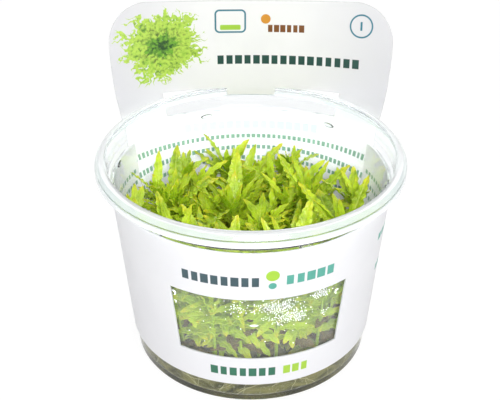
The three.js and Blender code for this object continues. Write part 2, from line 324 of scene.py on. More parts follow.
def tissue_effect() -> bpy.types.NodeTree:
    """Makes the group that colours leaf and stem tissue.

    Along runs from the root to the tip, Across from margin to margin, Age from a young leaf to a
    dying one and Tint from deep to bright green.
    """
    inputs = {"Along": "Float", "Across": "Float", "Age": "Float", "Tint": "Float"}
    effect = Effect("leaf tissue", inputs, SURFACE)
    graph, given = effect.graph, effect.given
    place = graph.object_place()
    patches = graph.noise(place, 230.0, 3.0, 0.4)
    grain = graph.noise(place, 1500.0, 3.0)
    side = graph.math("ABSOLUTE", graph.math("MULTIPLY_ADD", given["Across"], 2.0, -1.0))
    midrib = graph.ramp(side, 0.2, 0.03)
    sweep = graph.math("MULTIPLY_ADD", side, -1.1, graph.math("MULTIPLY", given["Along"], 13.0))
    wave = graph.math("SINE", graph.math("MULTIPLY", sweep, 2 * math.pi))
    vein = graph.math("MULTIPLY", graph.ramp(wave, 0.55, 1.0), graph.ramp(side, 0.98, 0.5))
    spread = graph.math("MULTIPLY_ADD", patches, 1.5, -0.78)
    shade = graph.math("ADD", given["Tint"], spread, clamped=True)
    green = graph.mix(shade, linear(40, 94, 8), linear(196, 226, 44))
    rim = graph.math("MULTIPLY", graph.ramp(side, 0.62, 1.0), 0.35)
    green = graph.mix(rim, green, linear(196, 224, 62))
    ribbed = graph.math("MULTIPLY", graph.math("MAXIMUM", midrib, graph.math("MULTIPLY", vein, 0.5)), 0.36)
    green = graph.mix(ribbed, green, linear(206, 226, 96))
    tip = graph.math("MULTIPLY", graph.ramp(given["Along"], 0.72, 1.0), graph.ramp(patches, 0.3, 0.6))
    green = graph.mix(graph.math("MULTIPLY", tip, 0.75), green, linear(226, 214, 44))
    wilting = graph.math("ADD", given["Age"], graph.math("MULTIPLY_ADD", patches, 0.5, -0.25))
    brown = graph.mix(grain, linear(70, 58, 20), linear(146, 126, 62))
    colour = graph.mix(graph.ramp(wilting, 0.66, 0.95), green, brown)
    crinkle = graph.noise(place, 620.0, 2.0, 0.6)
    rough = graph.math("MULTIPLY_ADD", crinkle, 1.1, graph.math("MULTIPLY", grain, 0.3))
    relief = graph.math("SUBTRACT", rough, graph.math("MULTIPLY", graph.math("MAXIMUM", midrib, vein), 0.7))
    graph.feed(effect.made["Colour"], colour)
    graph.feed(effect.made["Height"], relief)
    graph.feed(effect.made["Roughness"], graph.ramp(grain, 0.2, 0.8, 0.2, 0.4))
    return effect.tree


def paper_effect() -> bpy.types.NodeTree:
    """Makes the group for coated card: a faint uneven white and a fine fibre relief."""
    effect = Effect("coated card", {"White": "Color"}, SURFACE)
    graph, given = effect.graph, effect.given
    place = graph.object_place()
    cloud = graph.noise(place, 60.0, 3.0)
    fibre = graph.noise(graph.vector("MULTIPLY", place, (1.0, 1.0, 0.35)), 2600.0, 3.0)
    shade = graph.ramp(cloud, 0.35, 0.7, 0.0, 0.12)
    graph.feed(effect.made["Colour"], graph.mix(shade, given["White"], linear(213, 214, 220)))
    graph.feed(effect.made["Height"], fibre)
    graph.feed(effect.made["Roughness"], graph.spread(cloud, 0.42, 0.52))
    return effect.tree


@dataclass(frozen=True)
class Effects:
    """The node groups that the finishes share."""

    box_distance: bpy.types.NodeTree
    dash_row: bpy.types.NodeTree
    tissue: bpy.types.NodeTree
    paper: bpy.types.NodeTree

    @staticmethod
    def make() -> "Effects":
        """Builds every group once."""
        box_distance = box_distance_effect()
        return Effects(box_distance, dash_row_effect(box_distance), tissue_effect(), paper_effect())


@dataclass(frozen=True)
class Finish:
    """A surface finish. Its material is made once and shared."""

    name: str

    def material(self) -> bpy.types.Material:
        """Returns the finish's material, made on first use."""
        known = bpy.data.materials.get(self.name)
        if known:
            return known
        material = bpy.data.materials.new(self.name)
        material.use_nodes = True
        graph = Graph(material.node_tree)
        self.write(graph, material.node_tree.nodes["Principled BSDF"])
        return material

    def write(self, graph: Graph, shader: bpy.types.Node) -> None:
        """Writes the material's nodes. Each finish has its own."""
        raise NotImplementedError


@dataclass(frozen=True)
class ClearPlastic(Finish):
    """Clear moulded plastic that lets daylight through to what it holds."""

    clearness: float = 0.995
    roughness: float = 0.03
    tint: Colour = linear(250, 252, 253)
    ior: float = 1.49
    daylight: Colour = linear(251, 253, 253)

    def write(self, graph: Graph, shader: bpy.types.Node) -> None:
        """Writes smooth glass whose shadows are those of a clear film."""
        values = {
            "Base Color": self.tint,
            "Roughness": self.roughness,
            "IOR": self.ior,
            "Transmission Weight": self.clearness,
        }
        graph.dress(shader, values)
        film = graph.add("ShaderNodeBsdfTransparent", inputs={"Color": self.daylight})
        path = graph.add("ShaderNodeLightPath")
        shared = graph.add("ShaderNodeMixShader", inputs={0: path.outputs["Is Shadow Ray"]})
        graph.feed(shared.inputs[1], shader.outputs[0])
        graph.feed(shared.inputs[2], film.outputs[0])
        out = graph.tree.nodes["Material Output"]
        graph.feed(out.inputs["Surface"], shared.outputs[0])


@dataclass(frozen=True)
class DashRow:
    """A printed row of dashes: its middle and half size in flat card millimetres."""

    middle: tuple[float, float]
    half: tuple[float, float]
    pitch: float
    ink: Ink
    strength: float = 1.0
    gap: float = 0.07

    def whole_pitch(self) -> float:
        """Returns the pitch nearest to the row's own that fits a whole number of dashes."""
        width = 2 * self.half[0]
        return width / max(1, round(width / self.pitch))


@dataclass(frozen=True)
class Mark:
    """A printed rounded box, filled or as an outline: a dot or a ring where its corner is round."""

    middle: tuple[float, float]
    half: tuple[float, float]
    corner: float
    ink: Ink
    stroke: float | None = None
    strength: float = 1.0


@dataclass(frozen=True)
class BladeTuft:
    """A printed tuft of plain blades that spread all round from a middle."""

    middle: tuple[float, float]
    reach: float
    blades: int
    plump: float
    dark: Colour
    light: Colour
    turn: float = 0.0
    squash: tuple[float, float, float] = (0.9, 1.1, 1.0)
    sway: float = 0.16
    shortest: float = 0.6


@dataclass(frozen=True)
class PrintedCard(Finish):
    """Coated white card with flat printed marks, painted shade towards the header's ends and a painted glow
    below the slot.
    """

    effects: Effects
    white: Colour = linear(225, 225, 227)
    rows: tuple[DashRow, ...] = ()
    marks: tuple[Mark, ...] = ()
    tufts: tuple[BladeTuft, ...] = ()
    # Painted glow: how strongly the card's own colour glows below the slot, in place of daylight through the
    # card; then the heights where it fades out, the span where it rises towards the sides and its gain there.
    painted_glow: float = 0.0
    # Painted shade: a greyer white that the header fades to towards its two ends, over the given spans across
    # and up.
    painted_shade_white: Colour | None = None
    painted_shade_span: tuple[float, float] = (8.0, 52.0)
    painted_shade_rise: tuple[float, float] = (56.0, 70.0)
    glow_fade_heights: tuple[float, float] = (60.0, 66.0)
    glow_side_span: tuple[float, float] = (44.0, 46.0)
    glow_side_gain: float = 2.4

    def write(self, graph: Graph, shader: bpy.types.Node) -> None:
        """Writes the card's white with painted shade at the header's ends, its fibre relief, each printed
        mark, and a painted glow below the slot.
        """
        place = graph.uv()
        parts = graph.split(place)
        aside = graph.math("ABSOLUTE", parts[0])
        white = self.white
        # Painted shade: the header's white turns greyer towards its two ends.
        if self.painted_shade_white:
            shade_to_end = graph.ramp(aside, *self.painted_shade_span)
            share = graph.math("MULTIPLY", shade_to_end, graph.ramp(parts[1], *self.painted_shade_rise))
            white = graph.mix(share, self.white, self.painted_shade_white)
        paper = graph.use(self.effects.paper, {"White": white})
        colour = paper.outputs["Colour"]
        for tuft in self.tufts:
            colour = self.print_tuft(graph, place, colour, tuft)
        for mark in self.marks:
            colour = self.print_mark(graph, place, colour, mark)
        for seed, row in enumerate(self.rows):
            colour = self.print_row(graph, place, colour, row, seed)
        # Painted glow: the card's own colour glows below the slot, more at the sides, in place of daylight
        # passing through the card.
        below_slot = graph.ramp(parts[1], *self.glow_fade_heights, self.painted_glow, 0.0)
        at_sides = graph.ramp(aside, *self.glow_side_span, 1.0, self.glow_side_gain)
        values = {
            "Base Color": colour,
            "Roughness": paper.outputs["Roughness"],
            "Normal": graph.bump(paper.outputs["Height"], 0.12, 0.00004),
            "Emission Color": colour,
            "Emission Strength": graph.math("MULTIPLY", below_slot, at_sides),
            "Subsurface Weight": 0.5,
            "Subsurface Radius": (1.0, 1.0, 1.0),
            "Subsurface Scale": 0.0012,
        }
        graph.dress(shader, values)

    def print_row(self, graph: Graph, place: Socket, colour: Socket, row: DashRow, seed: int) -> Socket:
        """Prints a row of dashes over a colour and returns the result."""
        inputs = {
            "Place": place,
            "Centre": (*row.middle, 0.0),
            "Half Size": (*row.half, 0.0),
            "Pitch": row.whole_pitch(),
            "Gap": row.gap,
            "Seed": 7.3 * seed + 3.1,
        }
        mask = graph.use(self.effects.dash_row, inputs).outputs[0]
        return graph.mix(graph.math("MULTIPLY", mask, row.strength), colour, linear(*row.ink.value))

    def print_mark(self, graph: Graph, place: Socket, colour: Socket, mark: Mark) -> Socket:
        """Prints a rounded box over a colour and returns the result."""
        inputs = {
            "Place": place,
            "Centre": (*mark.middle, 0.0),
            "Half Size": (*mark.half, 0.0),
            "Corner": mark.corner,
        }
        distance = graph.use(self.effects.box_distance, inputs).outputs[0]
        if mark.stroke is not None:
            distance = graph.math("SUBTRACT", graph.math("ABSOLUTE", distance), mark.stroke / 2)
        mask = graph.ramp(distance, 0.08, -0.08, 0.0, mark.strength)
        return graph.mix(mask, colour, linear(*mark.ink.value))

    def print_tuft(self, graph: Graph, place: Socket, colour: Socket, tuft: BladeTuft) -> Socket:
        """Prints a tuft of blades over a colour and returns the result."""
        away = graph.vector("SUBTRACT", place, (*tuft.middle, 0.0))
        away = graph.vector("MULTIPLY", away, tuft.squash)
        parts = graph.split(away)
        bend = graph.noise(graph.vector("ADD", place, (31.0 * tuft.turn, 0.0, 0.0)), 0.28, 2.0)
        swayed = graph.spread(bend, -tuft.sway, tuft.sway)
        angle = graph.math("ADD", graph.math("ARCTAN2", parts[0], parts[1]), swayed)
        radius = graph.vector("LENGTH", away)
        step = 2 * math.pi / tuft.blades
        cell = graph.math("MULTIPLY_ADD", angle, 1 / step, 0.5 + tuft.turn)
        whole = graph.math("ADD", graph.math("FLOOR", cell), tuft.blades)
        number = graph.math("MODULO", whole, tuft.blades)
        chance = graph.chance(number).outputs["Color"]
        chances = graph.add("ShaderNodeSeparateColor", inputs={0: chance}).outputs
        turned = graph.math("MULTIPLY_ADD", chances[0], 0.5, 0.25)
        offset = graph.math("SUBTRACT", graph.math("FRACT", cell), turned)
        spread, least = (1 - tuft.shortest) * tuft.reach, tuft.shortest * tuft.reach
        reach = graph.math("MULTIPLY_ADD", chances[1], spread, least)
        share = graph.math("DIVIDE", radius, reach)
        swell = graph.math("SINE", graph.math("MULTIPLY", graph.math("MINIMUM", share, 1.0), math.pi))
        ruffle = graph.spread(graph.noise(place, 1.3, 2.0), 0.8, 1.3)
        half = graph.math("MULTIPLY", graph.math("MULTIPLY", swell, tuft.plump), ruffle)
        cell_width = graph.math("MULTIPLY", radius, step)
        from_middle = graph.math("MULTIPLY", graph.math("ABSOLUTE", offset), cell_width)
        blade = graph.ramp(graph.math("SUBTRACT", from_middle, half), 0.08, -0.08)
        mask = graph.math("MULTIPLY", blade, graph.ramp(share, 1.0, 0.98))
        mottle = graph.spread(graph.noise(place, 0.9, 3.0), -0.3, 0.3)
        ink = graph.mix(graph.ramp(graph.math("ADD", share, mottle), 0.1, 1.0), tuft.dark, tuft.light)
        return graph.mix(mask, colour, ink)


@dataclass(frozen=True)
class CardEdge(Finish):
    """The cut edge of the card, a little greyer than its faces."""

    effects: Effects
    white: Colour = linear(214, 216, 216)

    def write(self, graph: Graph, shader: bpy.types.Node) -> None:
        """Writes the bare fibre of the cut edge."""
        paper = graph.use(self.effects.paper, {"White": self.white})
        values = {
            "Base Color": paper.outputs["Colour"],
            "Normal": graph.bump(paper.outputs["Height"], 0.5, 0.00008),
            "Roughness": 0.8,
        }
        graph.dress(shader, values)


@dataclass(frozen=True)
class Gel(Finish):
    """Cloudy olive-brown nutrient gel."""

    dark: Colour = linear(58, 60, 24)
    light: Colour = linear(140, 137, 78)

    def write(self, graph: Graph, shader: bpy.types.Node) -> None:
        """Writes drifting streaks of darker and paler gel with a moist surface."""
        place = graph.object_place()
        drift = graph.noise(graph.vector("MULTIPLY", place, (1.0, 1.0, 1.8)), 60.0, 4.0, 2.6)
        speck = graph.noise(place, 900.0, 2.0)
        colour = graph.mix(graph.ramp(drift, 0.3, 0.72), self.dark, self.light)
        colour = graph.mix(graph.ramp(speck, 0.62, 0.75, 0.0, 0.35), colour, linear(190, 186, 140))
        values = {
            "Base Color": colour,
            "Normal": graph.bump(drift, 0.25, 0.0006),
            "Roughness": graph.spread(speck, 0.16, 0.3),
            "Subsurface Weight": 0.35,
            "Subsurface Radius": (1.0, 0.9, 0.4),
            "Subsurface Scale": 0.003,
        }
        graph.dress(shader, values)


@dataclass(frozen=True)
class Tissue(Finish):
    """Living leaf or stem tissue, coloured by the mesh's own age and tint."""

    effects: Effects
    glow: float = 0.32

    def write(self, graph: Graph, shader: bpy.types.Node) -> None:
        """Writes veined tissue that a little light passes through."""
        across, along = graph.split(graph.uv())[:2]
        inputs = {
            "Along": along,
            "Across": across,
            "Age": graph.attribute("age"),
            "Tint": graph.attribute("tint"),
        }
        tissue = graph.use(self.effects.tissue, inputs)
        values = {
            "Base Color": tissue.outputs["Colour"],
            "Roughness": tissue.outputs["Roughness"],
            "Normal": graph.bump(tissue.outputs["Height"], 0.7, 0.0003),
            "Subsurface Weight": self.glow,
            "Subsurface Radius": (0.6, 1.0, 0.2),
            "Subsurface Scale": 0.0012,
            "Specular IOR Level": 0.45,
        }
        graph.dress(shader, values)


@dataclass(frozen=True)
class Root(Finish):
    """Pale thin roots."""

    def write(self, graph: Graph, shader: bpy.types.Node) -> None:
        """Writes cream tissue that browns in patches."""
        patches = graph.noise(graph.object_place(), 160.0, 3.0)
        browning = graph.ramp(patches, 0.4, 0.7)
        values = {
            "Base Color": graph.mix(browning, linear(206, 204, 162), linear(160, 154, 98)),
            "Roughness": graph.spread(patches, 0.3, 0.5),
        }
        graph.dress(shader, values)


@dataclass(frozen=True)
class Dew(Finish):
    """Fine water droplets, drawn white with a painted glow that stands in for their highlights against the
    leaves.
    """

    # Strength of the painted glow that stands in for the droplets' highlights.
    glow: float = 0.8
    ior: float = 1.33

    def write(self, graph: Graph, shader: bpy.types.Node) -> None:
        """Writes white glossy droplets with a painted glow."""
        cloud = graph.noise(graph.object_place(), 900.0, 1.0)
        values = {
            "Base Color": graph.mix(cloud, WHITE, linear(240, 246, 240)),
            "Roughness": graph.spread(cloud, 0.04, 0.12),
            "IOR": self.ior,
            # Painted glow: the droplets shine white though they are no lamp.
            "Emission Color": WHITE,
            "Emission Strength": self.glow,
        }
        graph.dress(shader, values)


@dataclass(frozen=True)
class MistAndReflectionVeil(Finish):
    """A faint white film that veils what lies behind it: partly the finest droplets, partly a painted
    reflection of the light on the wall.
    """

    density: float = 0.022

    def write(self, graph: Graph, shader: bpy.types.Node) -> None:
        """Writes a faint cloudy white."""
        cloud = graph.noise(graph.object_place(), 260.0, 3.0)
        thin, thick = 0.8 * self.density, 1.2 * self.density
        values = {
            "Base Color": linear(250, 252, 250),
            "Roughness": 0.6,
            "Alpha": graph.spread(cloud, thin, thick),
        }
        graph.dress(shader, values)


def link_mesh(name: str, bm: bmesh.types.BMesh, finishes: Sequence[Finish]) -> bpy.types.Object:
    """Turns a bmesh into an object of the scene with its finishes, and frees the bmesh."""
    mesh = bpy.data.meshes.new(name)
    bm.to_mesh(mesh)
    bm.free()
    for finish in finishes:
        mesh.materials.append(finish.material())
    return add_object(name, mesh)


def add_piece(
    name: str,
    bm: bmesh.types.BMesh,
    finishes: Sequence[Finish],
    stands_for: Iterable[str] = (),
    sharp_angle: float = 35.0,
) -> None:
    """Turns a bmesh in metres into a piece that rides on the body.

    Args:
        name: The piece's name.
        bm: Its mesh, which is freed.
        finishes: One finish for each material number that the faces use.
        stands_for: The CAD nodes that it replaces.
        sharp_angle: Edges sharper than this, in degrees, are shaded sharp.
    """
    piece = link_mesh(name, bm, finishes)
    mesh = piece.data
    mesh.shade_smooth()
    mesh.set_sharp_from_angle(angle=math.radians(sharp_angle))
    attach(piece, BODY)
    if stands_for:
        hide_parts(*stands_for)
    LOG.info("%s: %d faces", name, len(mesh.polygons))


@dataclass(frozen=True)
class Corner:
    """A corner of a turned profile: its radius, its height and how far its rounding reaches."""

    radius: float
    height: float
    rounding: float = 0.0


def spin_profile(corners: Sequence[Corner], steps: int) -> bmesh.types.BMesh:
    """Turns a profile about the upright axis into a closed shell.

    Args:
        corners: The profile, from the axis at its foot round to the axis again.
        steps: The number of steps in a full turn.

    Returns:
        The shell, in metres, with its faces pointing out.
    """
    bm = bmesh.new()
    verts = [bm.verts.new((c.radius * MM, 0.0, c.height * MM)) for c in corners]
    for first, second in zip(verts, verts[1:]):
        bm.edges.new((first, second))
    for vert, corner in zip(verts, corners):
        if corner.rounding:
            bmesh.ops.bevel(
                bm,
                geom=[vert],
                offset=corner.rounding * MM,
                affect="VERTICES",
                segments=4,
                profile=0.5,
                material=-1,
            )
    bmesh.ops.spin(
        bm,
        geom=[*bm.verts, *bm.edges],
        cent=(0, 0, 0),
        axis=(0, 0, 1),
        dvec=(0, 0, 0),
        angle=2 * math.pi,
        steps=steps,
        use_merge=True,
        use_normal_flip=False,
        use_duplicate=False,
    )
    bmesh.ops.remove_doubles(bm, verts=bm.verts, dist=MERGE_DISTANCE)
    bmesh.ops.recalc_face_normals(bm, faces=bm.faces)
    return bm


@dataclass
class Cup:
    """The clear cup, with its foot ring, tapered wall, ledge, rim and stacking lugs."""

    wall_finish: Finish
    rim_finish: Finish
    shoulder_finish: Finish
    rim_height: float = 71.0
    rim_radius: float = 50.3
    rim_inner: float = 47.0
    skirt_drop: float = 4.4
    skirt_thickness: float = 0.8
    ledge_height: float = 63.3
    base_radius: float = 39.85
    wall_slope: float = 0.083
    wall: float = 0.65
    foot_rise: float = 0.8
    steps: int = 192
    step_radius: float = 47.3
    shoulder_radius: float = 48.9
    shoulder_height: float = 68.3
    lug_count: int = 6
    lug_turn: float = 38.8
    lug_drop: float = 1.4
    lug_inset: float = 0.1
    lug_half_size: tuple[float, float, float] = (2.2, 0.7, 0.8)
    floor_radius: float = 38.2
    floor_bend: float = 2.4

    def wall_radius(self, height: float) -> float:
        """Returns the wall's outer radius at a height."""
        return self.base_radius + self.wall_slope * height

    def inner_radius(self, height: float) -> float:
        """Returns the wall's inner radius at a height."""
        return self.wall_radius(height) - self.wall

    def profile(self) -> list[Corner]:
        """Returns the cup's section, from the middle of its underside round to its floor."""
        skirt_inner = self.rim_radius - self.skirt_thickness
        skirt_bottom = self.rim_height - self.skirt_drop
        ledge_outer = self.ledge_height - self.wall
        floor_top = self.foot_rise + self.wall
        return [
            Corner(0.0, self.foot_rise),
            Corner(34.6, self.foot_rise, 0.4),
            Corner(35.4, 0.0, 0.3),
            Corner(39.9, 0.0, 0.1),
            Corner(40.05, 0.3, 0.1),
            Corner(self.wall_radius(3.0), 3.0),
            Corner(self.wall_radius(ledge_outer - 1), ledge_outer - 1),
            Corner(self.wall_radius(ledge_outer), ledge_outer, 0.35),
            Corner(46.75, 63.7, 0.35),
            Corner(47.5, 69.6, 0.4),
            Corner(skirt_inner, 68.4, 0.35),
            Corner(skirt_inner, skirt_bottom, 0.2),
            Corner(self.rim_radius, skirt_bottom, 0.25),
            Corner(self.rim_radius, 69.0, 0.6),
            Corner(48.8, self.rim_height, 0.8),
            Corner(self.rim_inner, self.rim_height, 0.5),
            Corner(46.1, 64.1, 0.5),
            Corner(self.inner_radius(self.ledge_height), self.ledge_height, 0.4),
            Corner(self.inner_radius(self.ledge_height - 1.5), self.ledge_height - 1.5),
            Corner(self.inner_radius(4.5), 4.5),
            Corner(self.inner_radius(self.floor_bend), self.floor_bend, 0.7),
            Corner(self.floor_radius, floor_top, 0.4),
            Corner(0.0, floor_top),
        ]

    def zone(self, place: Vector) -> int:
        """Returns which finish a place takes: 0 on the wall, 1 on the rim, 2 on the rim's shoulder."""
        if place.z < self.ledge_height - self.wall or place.xy.length < self.step_radius:
            return 0
        is_shoulder = place.xy.length > self.shoulder_radius and place.z > self.shoulder_height
        return 2 if is_shoulder else 1

    def build(self) -> None:
        """Builds the cup and its lugs."""
        bm = spin_profile(self.profile(), self.steps)
        for face in bm.faces:
            face.material_index = self.zone(face.calc_center_median() / MM)
        finishes = [self.wall_finish, self.rim_finish, self.shoulder_finish]
        add_piece("clear_cup", bm, finishes, ["cup"])
        bm = bmesh.new()
        height = self.ledge_height - self.lug_drop
        radius = self.inner_radius(height) - self.lug_inset
        for k in range(self.lug_count):
            turn = math.radians(self.lug_turn + 360 / self.lug_count * k)
            place = Matrix.Translation(around(turn, radius, height) * MM)
            size = Matrix.Diagonal((*(Vector(self.lug_half_size) * MM), 1.0))
            shape = place @ Matrix.Rotation(-turn, 4, "Z") @ size
            bmesh.ops.create_uvsphere(bm, u_segments=20, v_segments=12, radius=1.0, matrix=shape)
        add_piece("stacking_lugs", bm, [self.wall_finish])


@dataclass
class Sleeve:
    """The card sleeve: a band with a window, and a slotted header that stands behind the rim."""

    cup: Cup
    inside: Finish
    outside: Finish
    edge: Finish
    card: float = 0.5
    gap: float = 0.32
    bottom: float = 7.8
    top: float = 61.9
    slot_bottom: float = 62.4
    slot_top: float = 71.4
    header_top: float = 103.4
    header_lean: float = 0.075
    header_bow: float = 96.0
    header_flattening: float = 0.22
    header_half_width: float = 49.8
    header_widest: float = 90.0
    header_neck: float = 2.7
    header_corner: float = 14.0
    header_edge: float = 61.5
    slit_edge: float = 63.0
    slot_edge: float = 40.4
    tab_edge: float = 11.0
    tab_bottom: float = 68.9
    window_edges: tuple[float, float] = (139.2, 213.2)
    window_lean: float = 1.7
    window_bottom: float = 19.3
    window_top: float = 44.0
    columns: int = 240
    rows: int = 60

    def card_point(self, angle: float, height: float, out: float) -> Vector:
        """Returns where a point of the card lies.

        Args:
            angle: Degrees round the cup from the back.
            height: Height above the table.
            out: Distance outwards from the card's inner face.

        Returns:
            The place, in millimetres.
        """
        turn = math.radians(angle)
        radius = self.cup.wall_radius(height) + self.gap + out
        point = around(turn, radius, height)
        opening = smoothstep(height, self.window_top, self.slot_bottom)
        if abs(angle) > self.header_edge + 0.01 or opening == 0:
            return point
        rise = clamp((height - self.slot_bottom) / (self.header_top - self.slot_bottom))
        bow = self.header_bow / lerp(1.0, self.header_flattening, rise)
        lean = self.header_lean * max(0.0, height - self.slot_top)
        back = self.cup.wall_radius(self.slot_bottom) + self.gap + lean
        sweep = angle / self.header_edge * self.half_width(height) / bow
        bowed = Vector(
            ((bow + out) * math.sin(sweep), back - bow + (bow + out) * math.cos(sweep), height)
        )
        return point.lerp(bowed, opening)

    def half_width(self, height: float) -> float:
        """Returns the header's half width along the card at a height."""
        below = clamp((self.header_widest - height) / (self.header_widest - self.slot_bottom))
        return self.header_half_width - self.header_neck * below**2

    @property
    def window_middle(self) -> float:
        """The height of the window's middle."""
        return (self.window_bottom + self.window_top) / 2

    @property
    def window_slope(self) -> float:
        """How many degrees each side of the window moves outwards in a millimetre of height."""
        return self.window_lean / (self.window_top - self.window_bottom)

    def flat_place(self, angle: float, height: float, in_header: bool) -> tuple[float, float]:
        """Returns a point's place on the flat card, where the printed marks are laid out."""
        if in_header:
            return (angle / self.header_edge * self.half_width(height), height)
        return (PRINT_ORIGIN + (angle % 360 - 180) * MM_PER_DEGREE, height)

    def is_open(self, angle: float, height: float) -> bool:
        """Whether the card is cut away at a place."""
        from_back = abs(angle)
        if from_back > self.header_edge:
            if height > self.top:
                return True
            if from_back < self.slit_edge and height > self.window_top:
                return True
            spread = self.window_slope * (height - self.window_middle)
            in_window = self.window_edges[0] - spread < angle < self.window_edges[1] + spread
            return in_window and self.window_bottom < height < self.window_top
        slot_top = self.tab_bottom if from_back < self.tab_edge else self.slot_top
        return from_back < self.slot_edge and self.slot_bottom < height < slot_top

    def flat_sheet(self) -> bmesh.types.BMesh:
        """Cuts the flat card, with angles across and heights up, out of a fine grid."""
        first, last = -self.slit_edge, 360 - self.slit_edge
        bm = bmesh.new()
        grid = bmesh.ops.create_grid(bm, x_segments=self.columns, y_segments=self.rows, size=0.5)
        middle = Vector(((first + last) / 2, (self.bottom + self.header_top) / 2, 0.0))
        bmesh.ops.scale(bm, vec=(last - first, self.header_top - self.bottom, 1.0), verts=grid["verts"])
        bmesh.ops.translate(bm, vec=middle, verts=grid["verts"])
        upright = [-self.header_edge, self.header_edge, self.slit_edge]
        upright += [-self.slot_edge, self.slot_edge, -self.tab_edge, self.tab_edge]
        level = [self.window_bottom, self.window_top, self.top]
        level += [self.slot_bottom, self.tab_bottom, self.slot_top]
        for angle in upright:
            self.cut(bm, (angle, 0.0, 0.0), (1.0, 0.0, 0.0))
        for height in level:
            self.cut(bm, (0.0, height, 0.0), (0.0, 1.0, 0.0))
        for side, angle in zip((-1, 1), self.window_edges):
            self.cut(bm, (angle, self.window_middle, 0.0), (1.0, -side * self.window_slope, 0.0))
        gone = [f for f in bm.faces if self.is_open(*f.calc_center_median().xy)]
        bmesh.ops.delete(bm, geom=gone, context="FACES")
        self.round_corners(bm)
        return bm

    def cut(self, bm: bmesh.types.BMesh, place: Sequence[float], normal: Sequence[float]) -> None:
        """Adds the edges where a plane crosses the flat sheet."""
        geometry = [*bm.verts, *bm.edges, *bm.faces]
        bmesh.ops.bisect_plane(bm, geom=geometry, dist=1e-4, plane_co=place, plane_no=normal)

    def round_corners(self, bm: bmesh.types.BMesh, steps: int = 10) -> None:
        """Rounds the header's two top corners, one flat cut after another."""
        half_width = self.half_width(self.header_top)
        degrees_per_mm = self.header_edge / half_width
        centre = Vector((half_width - self.header_corner, self.header_top - self.header_corner))
        low = centre.y - 2.0
        for side in (-1, 1):
            for k in range(1, steps):
                turn = math.pi / 2 * k / steps
                out = Vector((math.cos(turn), math.sin(turn)))
                edge = centre + out * self.header_corner
                place = (side * edge.x * degrees_per_mm, edge.y, 0.0)
                normal = (side * out.x / degrees_per_mm, out.y, 0.0)
                middles = [(face, face.calc_center_median()) for face in bm.faces]
                faces = [f for f, middle in middles if middle.y > low and abs(middle.x) < self.slit_edge]
                parts = {e for f in faces for e in f.edges} | {v for f in faces for v in f.verts}
                bmesh.ops.bisect_plane(
                    bm,
                    geom=[*parts, *faces],
                    dist=1e-4,
                    plane_co=place,
                    plane_no=normal,
                    clear_outer=True,
                )

    def build(self) -> None:
        """Cuts the flat card, gives it its thickness and bends it round the cup."""
        bm = self.flat_sheet()
        bmesh.ops.solidify(bm, geom=bm.faces[:], thickness=self.card)
        seam = (-self.slit_edge, 360 - self.slit_edge)
        on_seam = [f for f in bm.faces if any(all(abs(v.co.x - x) < 1e-3 for v in f.verts) for x in seam)]
        bmesh.ops.delete(bm, geom=on_seam, context="FACES")
        places = bm.loops.layers.uv.new("UVMap")
        for face in bm.faces:
            middle = face.calc_center_median()
            is_edge = abs(face.normal.z) < 0.5
            face.material_index = 2 if is_edge else int(abs(middle.z) > self.card / 2)
            in_header = abs(middle.x) < self.header_edge
            for loop in face.loops:
                loop[places].uv = self.flat_place(loop.vert.co.x, loop.vert.co.y, in_header)
        for vert in bm.verts:
            vert.co = self.card_point(vert.co.x, vert.co.y, abs(vert.co.z)) * MM
        bmesh.ops.remove_doubles(bm, verts=bm.verts, dist=MERGE_DISTANCE)
        bmesh.ops.recalc_face_normals(bm, faces=bm.faces)
        add_piece("card_sleeve", bm, [self.inside, self.outside, self.edge], ["sleeve"])


